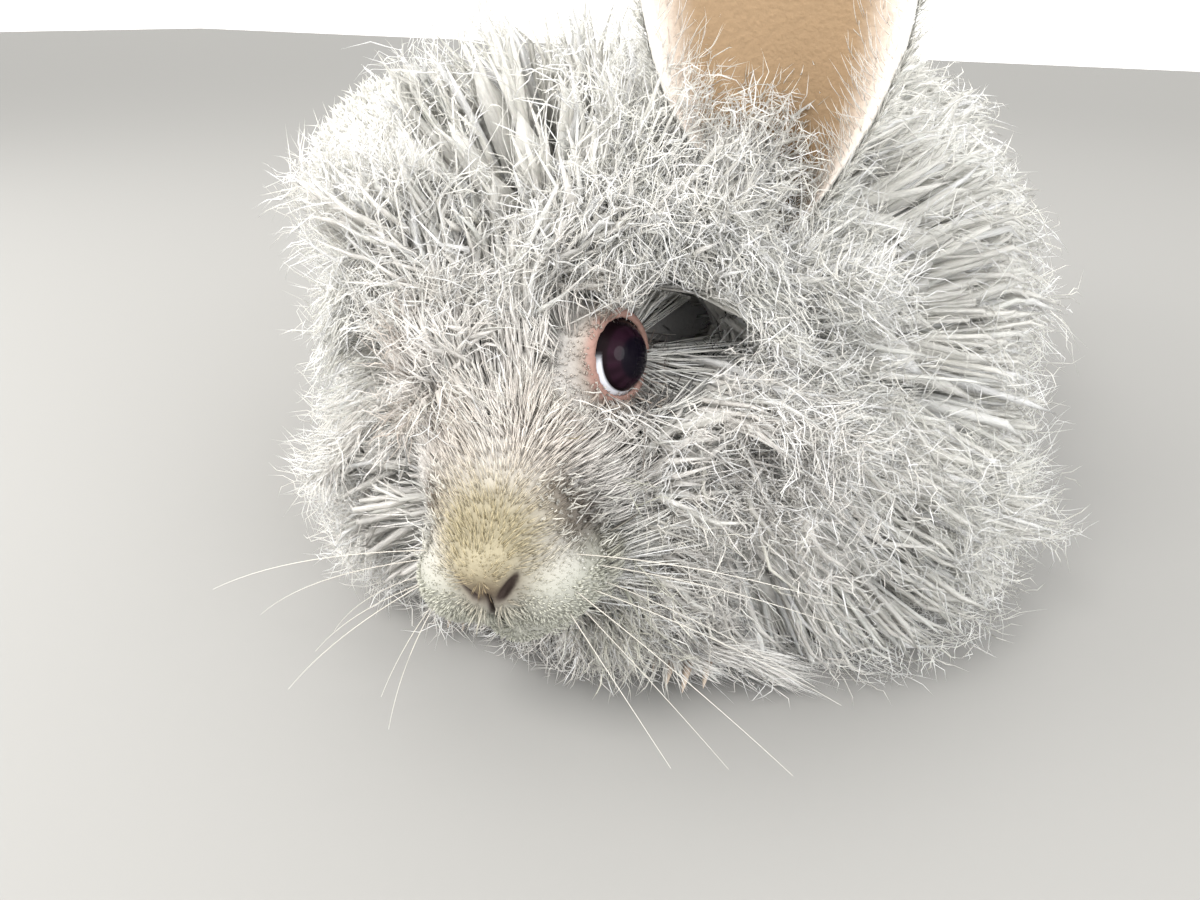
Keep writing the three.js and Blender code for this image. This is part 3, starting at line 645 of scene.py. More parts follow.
woolMaterial = coatMaterial("wool_tufts", 0.9, 0.6, 0.12)
furMaterial = coatMaterial("short_fur_tufts", 0.8, 0.4, 0.12)

# The skin with both ears, as one piece
parts = [(skinPoints, skinQuads, skinColour(skinPoints))]
for name in ("left", "right"):
    points, quads, across, inside = earShell(name)
    toRim = ramp(np.abs(across), 0.55, 1.0)[:, None]
    lining = mix(np.array(tint["earSkin"]), np.array(tint["earRim"]), toRim)
    parts.append((points, quads, mix(np.array(tint["wool"]) * 0.8, lining, inside[:, None])))
before = np.cumsum([0] + [len(part[0]) for part in parts])
skin = quadMesh("skin", np.vstack([part[0] for part in parts]),
                np.vstack([part[1] + n for part, n in zip(parts, before)]),
                np.vstack([part[2] for part in parts]))
skin.data.materials.append(skinMaterial())
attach(skin, "root")
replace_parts(skin, "head", "neck", "torso", "tail", "ear_left", "ear_right",
            "foreleg_left", "foreleg_right", "hindleg_left", "hindleg_right")
print("skin made")


# How far the coat reaches
def fullBlobAt(p, centre, radii):
    q = (p - np.asarray(centre)) / np.asarray(radii)
    flat = np.hypot(q[..., 0], q[..., 1])
    low = (flat ** 3 + np.abs(q[..., 2]) ** 3) ** (1 / 3)
    m = np.where(q[..., 2] < 0, low, lengthOf(q))
    return (m - 1) * np.min(radii) * 0.9


def headCover(h):
    direction = unit(h - np.array(coat["head"][0]))
    angle = np.degrees(np.arccos(np.clip(direction @ faceAxis, -1, 1)))
    return ramp(angle, *coat["cover"])


def faceFur(h):
    x, y = np.abs(h[..., 0]), h[..., 1]
    bridge = mix(1.6, 9.0, ramp(y, 6, 40))
    sides = mix(1.8, 11.0, ramp(y, 10, 36))
    return mix(bridge, sides, ramp(x, 7, 15))


def tipsAt(p):
    h = intoHead(p)
    squeezed = h.copy()
    squeezed[..., 0] *= 1 + coat["lopside"] * ramp(-h[..., 0], 0, 30)
    m = bothSides(squeezed)
    centre, core, tips = (np.array(part, float) for part in coat["head"])
    radii = mix(core, tips, headCover(h)[..., None])
    wool = (lengthOf((squeezed - centre) / radii) - 1) * np.min(radii, axis=-1)
    wool = joinForms(wool, blobAt(m, *coat["cheek"][:2]), coat["cheek"][2])
    bare = skullAt(h)
    d = joinForms(wool, bare - faceFur(h), 6)
    d = joinForms(d, blobAt(m, *coat["bangs"][:2]), coat["bangs"][2])
    d = joinForms(d, blobAt(h, *coat["brow"][:2]), coat["brow"][2])
    d = joinForms(d, taperAt(m, *coat["streak"]), 4)
    for name, k in (("neck", 10), ("skirt", 10), ("torso", 14)):
        d = joinForms(d, fullBlobAt(p, *coat[name]), k)
    d = joinForms(d, blobAt(p, *coat["tail"]), 6)
    scale, size = coat["lobes"]
    d = d + size * softNoise(p, scale, 21) * ramp(bare, 6, 16)
    d = cutForm(d, blobAt(h, *coat["eyeBay"][:2]), coat["eyeBay"][2])
    for cut, k in (("hollow", 4), ("hollowEnd", 4), ("cave", 3), ("furrow", 3), ("eyeSight", 3)):
        d = cutForm(d, taperAt(h, *coat[cut]), k)
    return cutForm(d, taperAt(p, *coat["earBay"]), 4)


def slopeOf(distance, p, step=1.5):
    return unit(np.stack([distance(p + e) - distance(p - e) for e in np.eye(3) * step], -1))


# Lie of the coat: which way each tuft leans
def flow(*parts):
    return np.stack(np.broadcast_arrays(*parts), -1)


def headLie(h):
    x, y, z = (h[..., k] for k in range(3))
    side = np.tanh(x / 9)
    wide = np.tanh(x / 14)
    face = flow(0.5 * side, 1.0, 0.3 * ramp(z, 4, 20) - 0.45 * ramp(-z, -6, 8))
    lie = mix(face, flow(0.9 * side, 0.35, -0.75), (ramp(y, 22, 46) * ramp(-z, -34, -18))[..., None])
    bangs = ramp(z, 30, 40) * ramp(y, 36, 48) * ramp(np.abs(x), 9, 18)
    lie = mix(lie, flow(0.9 * wide, -0.5, -0.6), bangs[..., None])
    lie = mix(lie, flow(0.5 * wide, 0.1, 0.6), (ramp(z, 30, 40) * ramp(y, 50, 70))[..., None])
    lie = mix(lie, flow(0.4 * side, 0.9, -0.4), ramp(y, 80, 94)[..., None])
    fromEye = bothSides(h) - eyeCentre(1)
    near = ramp(-lengthOf(fromEye), -13.5, -11)
    fromEye = fromEye * flow(np.sign(x), 1.0, 1.0)
    return mix(unit(lie), unit(fromEye), (0.75 * near)[..., None])


def bodyLie(p):
    x, y, z = (p[..., k] for k in range(3))
    back = mix(0.55, 1.0, ramp(y, -60, 0)) * (1 - 0.8 * ramp(y, 150, 200))
    return flow(0.25 * np.tanh(x / 40), back, -0.5 - 0.5 * ramp(-z, -70, -10))


def lieAt(p):
    h = intoHead(p)
    inFront = ramp(-h[..., 1], -112, -88)[..., None]
    return unit(mix(bodyLie(p), headLie(h) @ headAxes.T, inFront))


# Places for the tufts' roots, spread over the skin by a weight
a, b, c, d = (skinPoints[skinQuads[:, i]] for i in range(4))
skinTriangles = np.concatenate([np.stack([a, b, c], 1), np.stack([a, c, d], 1)])
triangleCross = np.cross(skinTriangles[:, 1] - skinTriangles[:, 0], skinTriangles[:, 2] - skinTriangles[:, 0])
triangleArea = lengthOf(triangleCross) / 2
triangleCentre = skinTriangles.mean(1)
triangleNormal = unit(triangleCross)
centreInHead = intoHead(triangleCentre)


def scatter(count, weight, rng):
    share = np.cumsum(triangleArea * weight)
    pick = np.minimum(np.searchsorted(share, rng.random(count) * share[-1]), len(share) - 1)
    u, v = rng.random((2, count))
    over = u + v > 1
    u[over], v[over] = 1 - u[over], 1 - v[over]
    t = skinTriangles[pick]
    return t[:, 0] + (t[:, 1] - t[:, 0]) * u[:, None] + (t[:, 2] - t[:, 0]) * v[:, None], triangleNormal[pick]


# Place of a root on an unwrap of the skin: the head and the body each rolled out round their own axis
def unwrap(p):
    h = intoHead(p)
    onHead = h[..., 1] < 92
    headU = 0.02 + 0.44 * (np.arctan2(h[..., 0], h[..., 2] - 12) / (2 * math.pi) + 0.5)
    headV = 0.02 + 0.94 * np.clip((h[..., 1] + 6) / 110, 0, 1)
    bodyU = 0.52 + 0.44 * (np.arctan2(p[..., 0], p[..., 2] - 45) / (2 * math.pi) + 0.5)
    bodyV = 0.02 + 0.94 * np.clip((p[..., 1] + 120) / 345, 0, 1)
    return np.stack([np.where(onHead, headU, bodyU), np.where(onHead, headV, bodyV)], -1)


patchSize = 0.003
lowest = 0.3
tally = []


# A tuft is a three-sided blade along its path, with a point at its tip
def tuftPiece(name, paths, across, width, depth, colours, places, look):
    n, steps, _ = paths.shape
    rings = steps - 1
    t = np.arange(steps) / rings
    tangent = unit(np.gradient(paths, axis=1))
    side = unit(np.cross(np.broadcast_to(across[:, None], tangent.shape), tangent))
    face = np.cross(tangent, side)
    taper = ((1 - t ** look["full"]) ** 0.8) * (0.45 + 0.55 * np.sin(np.minimum(1, t * 2.2) * math.pi / 2))
    corners = []
    for turn in (0, 120, 240):
        a = math.radians(turn)
        offset = (side * math.sin(a) * (width[:, None, None] / 1.73)
                  + face * math.cos(a) * (depth[:, None, None] / 1.5))
        corners.append(paths + offset * taper[None, :, None])
    ringPoints = np.stack([c[:, :rings] for c in corners], 2).reshape(n, rings * 3, 3)
    points = np.concatenate([ringPoints, paths[:, -1:]], 1)
    points[..., 2] = np.maximum(points[..., 2], lowest)
    perTuft = rings * 3 + 1
    quads = []
    for r in range(rings - 1):
        for k in range(3):
            m = (k + 1) % 3
            quads.append([r * 3 + k, r * 3 + m, r * 3 + 3 + m, r * 3 + 3 + k])
    tips = [[(rings - 1) * 3 + k, (rings - 1) * 3 + (k + 1) % 3, rings * 3] for k in range(3)]
    local = np.array([i for q in quads + tips for i in q] + [2, 1, 0])
    sizes = np.array([4] * len(quads) + [3] * 4)
    starts = np.concatenate([[0], np.cumsum(sizes)[:-1]])
    allCorners = (local[None] + (np.arange(n) * perTuft)[:, None]).ravel()
    allStarts = (starts[None] + (np.arange(n) * len(local))[:, None]).ravel()
    along = np.concatenate([np.repeat(t[:rings], 3), [1.0]])
    around = np.concatenate([np.tile([0.5, 0.9, 0.1], rings), [0.5]])
    spot = (np.stack([around, along], -1) - 0.5) * patchSize
    uvs = (places[:, None] + spot[None, local]).reshape(-1, 2)
    # Each tuft is darker towards its root: partly the wool's greyer base, partly painted shade deep in the
    # coat
    rootGreyAndShade = look["rootGreyAndShade"]
    shade = (colours[:, None] * (rootGreyAndShade + (1 - rootGreyAndShade) * along[None, :, None] ** 0.7)).reshape(-1, 3)
    length = lengthOf(np.diff(paths, axis=1)).sum(1)
    apart = np.random.default_rng(n).random((n, 1)) * 900
    strand = np.stack([(around - 0.5)[None] * width[:, None] + apart,
                       along[None] * length[:, None] * 0.16 + apart,
                       np.broadcast_to(apart * 0.37, (n, perTuft))], -1)
    piece = makeMesh(name, points.reshape(-1, 3), allCorners, allStarts, np.tile(sizes, n), shade, uvs,
                     strand.reshape(-1, 3))
    dress(piece, look["material"])
    tally.append(n * (6 * (rings - 1) + 4))
    print(name, n, "tufts", tally[-1], "triangles")


# Lines of sight of the photo, kept open in front of the left eye, and a cone in front of each eye
cameraPlace = vec(60, -260, 134)
sight = {"clear": 6.2, "cone": (36, 24), "coneReach": (24, 14), "lid": 7, "lift": 6, "from": 2.5,
         "narrows": 190}


# Points between a path's own points too, so that a long straight part is tested as well
def finer(paths):
    steps = [mix(paths[:, :-1], paths[:, 1:], k / 4) for k in range(1, 5)]
    return np.stack(steps, 2).reshape(len(paths), -1, 3)


# Distance along the line from a spot on the head to the camera, and beside it
def fromSight(paths, spot):
    start = outOfHead(spot)
    toCamera = unit(cameraPlace - start)
    along = (paths - start) @ toCamera
    return along, lengthOf(paths - start - along[..., None] * toCamera)


def eyeClear(paths, clear):
    paths = finer(paths)
    h = intoHead(paths)
    shut = (taperAt(h, *coat["hollow"]) < -1) | (taperAt(h, *coat["cave"]) < -1)
    for side, cone, reach in zip((1, -1), sight["cone"], sight["coneReach"]):
        q = h - eyeCentre(side)
        far = np.maximum(lengthOf(q), 1e-6)
        ahead = q @ eyeAxis(side) / far > math.cos(math.radians(cone))
        shut |= ahead & (far < reach) & (far > sight["lid"])
    along, apart = fromSight(paths, eyeCentre(1) + eyeAxis(1) * sight["lift"])
    shut |= (along > sight["from"]) & (apart < clear * (1 - along / sight["narrows"]))
    for spot, wide in coat["hollowSight"]:
        along, apart = fromSight(paths, vec(*spot))
        shut |= (along > 0) & (apart < wide)
    return ~shut.any(1)


# Broad locks keep out of the bay round the left eye and the hollow beside it
def bayClear(paths, width):
    h = intoHead(finer(paths))
    margin = width[:, None] * 0.5 - 1
    clear = blobAt(h, *coat["eyeBay"][:2]) > margin
    for name in ("hollow", "eyeSight"):
        clear &= taperAt(h, *coat[name]) > margin
    return clear.all(1)


def clearOfNose(paths):
    h = intoHead(paths)
    shut = splitAt(h) < 0.35
    for side in (1, -1):
        shut |= nostrilAt(h, side) < 0.45
    return ~shut.any(1)


# Locks and wisps that stray far past the coat's surface are left out
strayLimit = {"past": 4.5, "side": 110}


def withinCoat(paths):
    return ((tipsAt(paths) < strayLimit["past"]) & (np.abs(paths[..., 0]) < strayLimit["side"])).all(1)


# The largest value that is still inside, for each root, by halving
def farthest(inside, low, high, rounds):
    for i in range(rounds):
        middle = (low + high) / 2
        within = inside(middle[:, None])
        low, high = np.where(within, middle, low), np.where(within, high, middle)
    return low


# What a lock or a wisp has where its piece says nothing else
tuftLook = {"rings": 3, "material": woolMaterial, "slot": "wool", "clear": sight["clear"],
            "keep": lambda paths: True}
lockLook = {**tuftLook, "reach": 1.0, "least": 1.0, "most": 80, "wander": 0.35, "shortRun": 2, "longRun": 40,
            "rise": 0.7, "sway": 1.0, "deep": 0, "thick": 0.55, "rootGreyAndShade": 0.85, "full": 1.8, "gather": None}
wispLook = {**tuftLook, "off": 0.7, "lift": 0.12, "curl": 0, "turns": 0.7, "light": 1.04, "thick": 0.7,
            "rootGreyAndShade": 1.0, "full": 2.2}
fullTurn = 6.283


# Locks: where each starts, bends and ends
def planLocks(look):
    look = {**lockLook, **look}
    rng = np.random.default_rng(look["seed"])
    roots, normals = scatter(look["count"], look["weight"], rng)
    n = len(roots)
    away = unit(mix(normals, slopeOf(tipsAt, roots), np.clip(-tipsAt(roots) / 14, 0.15, 0.85)[:, None]))
    deep = farthest(lambda t: tipsAt(roots + away * t) < 0, np.zeros(n), np.full(n, 90.0), 9)
    depth = np.clip(deep, look["least"], look["most"])
    lie = lieAt(roots)
    lie = unit(lie - away * np.einsum("ij,ij->i", lie, away)[:, None])
    drift = np.stack([softNoise(roots, 12, s) for s in (11, 12, 13)], -1)
    lie = unit(lie + look["wander"] * (1.6 * drift + 0.3 * rng.normal(size=(n, 3))))
    height = depth * np.clip(1 + 0.12 * rng.normal(size=n), 0.5, 1.35) * look["reach"]
    h = intoHead(roots)
    crown = ramp(h[:, 2], 28, 38) * ramp(-h[:, 1], -76, -66) * ramp(h[:, 1], 34, 44)
    lean = look["lean"] * (1 + 0.2 * rng.normal(size=n)) * (1 - 0.3 * crown)
    run = np.clip(depth, look["shortRun"], look["longRun"]) * lean
    tips = roots + away * height[:, None] + lie * run[:, None]
    middle = roots + away * (height * look["rise"])[:, None] + lie * (run * 0.2)[:, None]
    over = rng.normal(size=n) + 0.5
    share = farthest(lambda t: tipsAt(mix(roots, tips, t)) < over, np.full(n, 0.15), np.ones(n), 6)
    share = np.where(tipsAt(tips) < over, 1.0, share)[:, None]
    colour = mix(coatColour(roots), coatColour(mix(roots, tips, share)), ramp(depth, 5, 12)[:, None])
    return {"root": roots, "middle": mix(roots, middle, 0.35 + 0.65 * share), "tip": mix(roots, tips, share),
            "away": away, "depth": depth, "colour": colour * (1 + 0.05 * rng.normal(size=(n, 1))),
            "place": unwrap(roots)}


# Locks that a form of their own places, all of one depth
def asLocks(root, middle, tip, away, depth, tone, rng):
    n = len(root)
    return {"root": root, "middle": middle, "tip": tip, "away": away, "depth": np.full(n, float(depth)),
            "colour": tone * (1 + 0.05 * rng.normal(size=(n, 1))), "place": unwrap(root)}


# Locks near one another gather towards one tip
def gatherLocks(locks, bunch, pull, seed):
    rng = np.random.default_rng(seed)
    n = len(locks["root"])
    heads = rng.choice(n, max(8, int(n / bunch)), replace=False)
    tree = kdtree.KDTree(len(heads))
    for k, i in enumerate(heads):
        tree.insert(locks["root"][i], k)
    tree.balance()
    nearest = np.array([heads[tree.find(r)[1]] for r in locks["root"]])
    share = (pull * (0.5 + 0.5 * rng.random(n)))[:, None]
    locks["tip"] = mix(locks["tip"], locks["tip"][nearest], share)
    locks["middle"] = mix(locks["middle"], locks["middle"][nearest], share * 0.4)


def bendAt(locks, pick, s):
    root, middle, tip = (locks[k][pick][:, None] for k in ("root", "middle", "tip"))
    s = s[..., None]
    inside = np.minimum(s, 1)
    curve = root * (1 - inside) ** 2 + 2 * inside * (1 - inside) * middle + tip * inside ** 2
    return curve + np.maximum(0, s - 1) * 1.6 * (tip - middle)


# Paths lie on the floor where they would pass it
def settle(paths, rng):
    paths[..., 2] = np.maximum(paths[..., 2], 0.7 + 1.6 * rng.random(len(paths))[:, None])
    return paths


def finishTufts(name, paths, away, width, colours, places, keep, look):
    keep = keep & eyeClear(paths, look["clear"]) & look["keep"](paths)
    tuftPiece(name, paths[keep], away[keep], width[keep], width[keep] * look["thick"],
              np.clip(colours[keep], 0, 0.98), places[keep], look)


def drawLocks(name, locks, look):
    look = {**lockLook, **look}
    if look["gather"]:
        gatherLocks(locks, *look["gather"])
    rng = np.random.default_rng(look["seed"] + 100)
    n = len(locks["root"])
    t = np.linspace(0, 1, look["rings"] + 1)
    paths = bendAt(locks, np.arange(n), np.broadcast_to(t, (n, len(t))))
    sway = look["sway"] * np.minimum(1, locks["depth"] / 16)[:, None, None]
    paths = settle(paths + rng.normal(size=paths.shape) * sway * t[None, :, None], rng)
    width = look["width"] * np.clip(1 + 0.25 * rng.normal(size=n), 0.5, 1.6)
    keep = np.ones(n, bool)
    if look["width"] > 1:
        width = width * np.clip(locks["depth"] / 14, 0.16, 1)
        keep = bayClear(paths, width) & (locks["depth"] > look["deep"])
    finishTufts(name, paths, locks["away"], width, locks["colour"], locks["place"], keep, look)
    return locks


def growLocks(name, look):
    return drawLocks(name, planLocks(look), look)


# Fine wisps that fray out of the locks, crimped and curled
def drawWisps(name, locks, look):
    look = {**wispLook, **look}
    rng = np.random.default_rng(look["seed"])
    n = look["count"]
    share = locks.get("share", 1) * np.clip(locks["depth"], 3, 34)
    pick = rng.choice(len(share), n, p=share / share.sum())
    root, tip, away = (locks[k][pick] for k in ("root", "tip", "away"))
    whole = np.maximum(lengthOf(tip - root), 1)
    start = rng.uniform(*look["start"], n)
    length = look["length"] * (0.6 + 0.8 * rng.random(n)) * np.minimum(1, whole / 12)
    end = np.minimum(start + length / whole, 1.15)
    t = np.linspace(0, 1, look["rings"] + 1)
    paths = bendAt(locks, pick, start[:, None] + (end - start)[:, None] * t)
    tangent = unit(paths[:, -1] - paths[:, 0])
    side = unit(np.cross(tangent, away))
    up = np.cross(side, tangent)
    turn = rng.random(n) * fullTurn
    size = np.minimum(1, locks["depth"][pick] / 14)
    rise = 0.55 * np.sin(turn) * look["fan"] + look["lift"]
    fan = side * (np.cos(turn) * look["fan"])[:, None] + up * rise[:, None]
    paths = paths + (fan * length[:, None])[:, None] * t[None, :, None] ** 1.2
    beside = side * np.cos(turn * 3)[:, None] + up * 0.4
    paths = paths + beside[:, None] * (look["off"] * size)[:, None, None]
    crimp = look["crimp"] * size[:, None, None] * np.minimum(1, 3 * t)[None, :, None]
    paths = paths + rng.normal(size=paths.shape) * crimp
    if look["curl"]:
        grow = (look["curl"] * (0.5 + rng.random(n)) * size)[:, None] * t[None] ** 1.2
        angle = t[None] * look["turns"] * fullTurn * (0.6 + 0.8 * rng.random(n))[:, None] + turn[:, None]
        paths = (paths + side[:, None] * (np.cos(angle) * grow)[..., None]
                 + up[:, None] * (np.sin(angle) * grow)[..., None])
    paths = settle(paths, rng)
    width = look["width"] * np.clip(1 + 0.25 * rng.normal(size=n), 0.5, 1.7)
    colours = locks["colour"][pick] * (1 + 0.08 * rng.normal(size=(n, 1))) * look["light"]
    finishTufts(name, paths, away, width, colours, locks["place"][pick], np.ones(n, bool), look)


# Parts of the skin by the places of its triangles
hy, hz = centreInHead[:, 1], centreInHead[:, 2]
px, py, pz = (triangleCentre[:, k] for k in range(3))
isHead = (hy < 92) & (pz > 8)
isLeg = ((pz < 24) & (np.abs(px) > 15) & ((py < -72) | ((np.abs(px) > 50) & (py < 106))))
onFace = isHead & (hy < 44) & ~((hy > 34) & (hz > 34))
onHead = isHead & (hy >= 24) & ~isLeg
onBody = ~isLeg & (hy > 70) & (pz > 4)
facingCamera = np.einsum("ij,ij->i", unit(cameraPlace - triangleCentre), triangleNormal)
seen = 0.35 + 0.65 * ramp(facingCamera, -0.5, 0.3)
nearEye = np.minimum(*(lengthOf(centreInHead - eyeCentre(side)) for side in (1, -1)))
sidesInHead = bothSides(centreInHead)
print("roots ready")

# Short fur of nose, lips, face, lids and feet
faceFurLook = {"material": furMaterial, "slot": "face_wool"}
furs = {
    "fur_nose": {"seed": 1, "count": 6400, "weight": onFace * (hy < 22) * seen, "lean": 1.5, "width": 0.24,
                 "rings": 2, "wander": 0.25, "least": 1.1, "shortRun": 1.5, "rootGreyAndShade": 0.95, "keep": clearOfNose,
                 "sway": 0.1},
    "fur_lips": {"seed": 15, "count": 2700, "weight": onFace * (hy < 16) * (hz < -1) * (0.4 + seen),
                 "lean": 1.6, "width": 0.3, "wander": 0.2, "least": 3.0, "shortRun": 3.4, "rootGreyAndShade": 0.95,
                 "keep": clearOfNose, "sway": 0.15, "rise": 0.9},
    "fur_face": {"seed": 2, "count": 6200, "weight": onFace * ramp(hy, 12, 20) * (0.5 + seen), "lean": 1.1,
                 "width": 0.42, "wander": 0.5, "least": 2.2, "sway": 0.5, "rootGreyAndShade": 0.82, "keep": clearOfNose,
                 "gather": (7, 0.4, 2)},
    "fur_lids": {"seed": 5, "count": 2400, "lean": 1.6, "width": 0.3, "rings": 2, "wander": 0.25,
                 "least": 1.5, "most": 3.5, "shortRun": 2.0, "rootGreyAndShade": 0.8, "sway": 0.2,
                 "weight": isHead * ramp(-nearEye, -17, -14) * (blobAt(sidesInHead, *coat["shadow"]) > 1)},
}
for name, look in furs.items():
    growLocks(name, {**faceFurLook, **look})

# Small curls in the furrow beside the nose, whose ground is painted dark as painted shade, and white ones
# under the eye
curls = {
    "furrow": {"seed": 16, "count": 420, "lean": 1.0, "least": 3.0, "most": 5.0, "wander": 0.7},
    "streak": {"seed": 17, "count": 400, "lean": 1.2, "least": 3.5, "most": 7.0, "wander": 0.6},
}
for name, look in curls.items():
    look["weight"] = isHead * ramp(-taperAt(sidesInHead, *coat[name]), -4, -1) + 1e-9
    locks = planLocks(look)
    locks["colour"] = mix(locks["colour"], np.array(tint["wool"]), 0.7)
    drawWisps(f"curls_{name}", locks, {
        "seed": look["seed"] + 40, "count": round(look["count"] * 1.6), "start": (0.0, 0.4), "length": 7,
        "fan": 0.5, "rings": 5, "crimp": 0.25, "curl": 1.5, "turns": 0.9, "width": 0.3, "slot": "face_wool",
        "keep": clearOfNose, "light": 1.0})

# Wool of the head: broad locks under finer ones, then wisps
underWool = {"wander": 0.3, "sway": 0.5, "rootGreyAndShade": 0.95, "full": 3.0, "thick": 0.2, "rise": 1.05}
outerWool = {"wander": 0.6, "rootGreyAndShade": 0.95, "full": 2.0, "thick": 0.25, "rise": 1.0}
growLocks("under_wool_head", {
    **underWool, "seed": 4, "count": 1500, "weight": onHead * (0.15 + seen) * (nearEye > 24) * (hy > 46),
    "lean": 1.15, "width": 5.5, "slot": "face_wool", "reach": 0.6, "longRun": 12, "deep": 9})
headLocks = growLocks("wool_head", {
    **outerWool, "seed": 3, "count": 8000, "weight": onHead * (0.15 + seen), "lean": 1.25, "width": 1.7,
    "sway": 1.1, "slot": "face_wool", "reach": 0.9, "longRun": 14, "gather": (7, 0.35, 3)})
toCamera = unit(cameraPlace - headLocks["root"])
headLocks["share"] = 0.12 + ramp(np.einsum("ij,ij->i", toCamera, headLocks["away"]), -0.3, 0.3)
for i in range(3):
    drawWisps(f"wisps_head_{i + 1}", headLocks, {
        "seed": 20 + i, "count": 9600, "start": (0.55, 1.0), "length": 8, "fan": 0.9, "crimp": 0.6,
        "curl": 0.8, "width": 0.24, "slot": "face_wool", "off": 1.3, "lift": 0.2})

# Bangs that hang from the crown over the top of the eye
bangs = {
    "edge": [(15, 40, 40), (21, 37.5, 38), (28, 36, 36.5), (36, 37, 36), (44, 34, 31), (53, 30, 20)],
    "top": [(12, 46, 62), (20, 44, 64), (28, 44, 64), (38, 46, 58), (47, 46, 48), (56, 46, 36)],
    "rootFrom": (9, 48, 37), "rootTo": (17, 60, 30), "rootSpread": (2.5, 3, 1), "hang": (-5, 6, 13),
    "behind": (0, 62, 20), "count": 700, "rightSide": -0.84, "depth": 24,
}


def planBangs(side, seed):
    rng = np.random.default_rng(seed)
    n = bangs["count"]
    u, v = rng.random(n), rng.random(n) ** 1.5 * 0.8
    tips = mix(courseAt(bangs["edge"], u), courseAt(bangs["top"], u), v[:, None])
    tips = tips + rng.normal(size=(n, 3)) * 1.5
    roots = mix(np.array(bangs["rootFrom"], float), np.array(bangs["rootTo"], float), u[:, None])
    roots = roots + rng.normal(size=(n, 3)) * bangs["rootSpread"]
    middle = tips + np.array(bangs["hang"]) * (0.8 + 0.4 * rng.random((n, 1)))
    flip = vec(side if side > 0 else bangs["rightSide"], 1, 1)
    root, middle, tip = (outOfHead(p * flip) for p in (roots, middle, tips))
    away = unit(tip - outOfHead(vec(*bangs["behind"])))
    return asLocks(root, middle, tip, away, bangs["depth"], np.array(tint["wool"]), rng)


for name, side, seed, count in (("left", 1, 31, 1800), ("right", -1, 32, 400)):
    locks = drawLocks(f"bangs_{name}", planBangs(side, seed), {
        "seed": seed, "rings": 4, "width": 1.2, "sway": 0.9, "slot": "face_wool", "rootGreyAndShade": 0.95, "clear": 5.0,
        "thick": 0.45, "gather": (6, 0.35, seed)})
    drawWisps(f"bangs_wisps_{name}", locks, {
        "seed": seed + 2, "count": count, "start": (0.5, 1.0), "length": 9, "fan": 0.5, "rings": 5,
        "crimp": 0.35, "curl": 0.9, "turns": 0.9, "width": 0.22, "slot": "face_wool", "clear": 4.6})

# Wool of the body, in a front half and a back half
bodyWool = [
    {"seed": 7, "from": -200, "to": 20, "width": 2.4, "count": 4900, "under": 2000, "broad": 1.8,
     "reach": 0.6, "wisps": 7400, "length": 10, "fine": 0.3},
    {"seed": 9, "from": 10, "to": 240, "width": 4.2, "count": 4300, "under": 2700, "broad": 2.1,
     "reach": 0.68, "wisps": 4200, "length": 14, "fine": 0.55},
]
for i, half in enumerate(bodyWool):
    spots = onBody * (py > half["from"]) * (py < half["to"]) * (0.4 + seen)
    growLocks(f"under_wool_body_{i + 1}", {
        **underWool, "seed": half["seed"] + 20, "count": half["under"], "weight": spots > 0, "lean": 1.1,
        "width": half["width"] * half["broad"], "reach": half["reach"], "longRun": 18})
    locks = growLocks(f"wool_body_{i + 1}", {
        **outerWool, "seed": half["seed"], "count": half["count"], "weight": spots, "lean": 1.1,
        "width": half["width"], "sway": 1.3, "reach": 0.92, "longRun": 18, "keep": withinCoat,
        "gather": (7, 0.35, half["seed"])})
    drawWisps(f"wisps_body_{i + 1}", locks, {
        "seed": 40 + i, "count": half["wisps"], "start": (0.4, 1.0), "length": half["length"], "fan": 0.8,
        "crimp": 0.7, "curl": 1.0, "width": half["fine"], "off": 1.8, "lift": 0.2, "keep": withinCoat})
growLocks("fur_feet", {
    "seed": 14, "count": 2400, "weight": isLeg * (pz > 1.0), "lean": 1.3, "width": 0.8, "rings": 2,
    "wander": 0.2, "least": 2.2, "most": 3.2, "material": furMaterial, "slot": "leg_fur", "sway": 0.1})

def eitherSide(rng, n):
    return np.where(rng.random(n) < 0.5, -1, 1)


# Hair on the ears: short fur behind, fine hairs on the rims and inside. "long" gives its length at the root
# and on the cup, what the top adds, and the share of the ear where the top starts
earFur = [
    {"seed": 50, "count": 2400, "run": 1.0, "out": 0, "long": (11, 4.5, 2, 0.75), "width": 0.75,
     "inside": False, "rings": 2,
     "spots": lambda rng, n: (0.06 + 0.92 * rng.random(n), rng.uniform(-1, 1, n))},
    {"seed": 52, "count": 1200, "run": 0.75, "out": 0.5, "long": (4.5, 4.5, 3, 0.72), "width": 0.24,
     "inside": False, "rings": 3,
     "spots": lambda rng, n: (0.22 + 0.76 * rng.random(n) ** 0.9,
                              eitherSide(rng, n) * (1 - 0.1 * rng.random(n) ** 1.5))},
    {"seed": 54, "count": 700, "run": 0.8, "out": -0.15, "long": (5, 5, 0, 0.72), "width": 0.15,
     "inside": True, "rings": 3,
     "spots": lambda rng, n: (0.25 + 0.7 * rng.random(n),
                              eitherSide(rng, n) * (0.5 + 0.46 * rng.random(n) ** 0.6))},
]


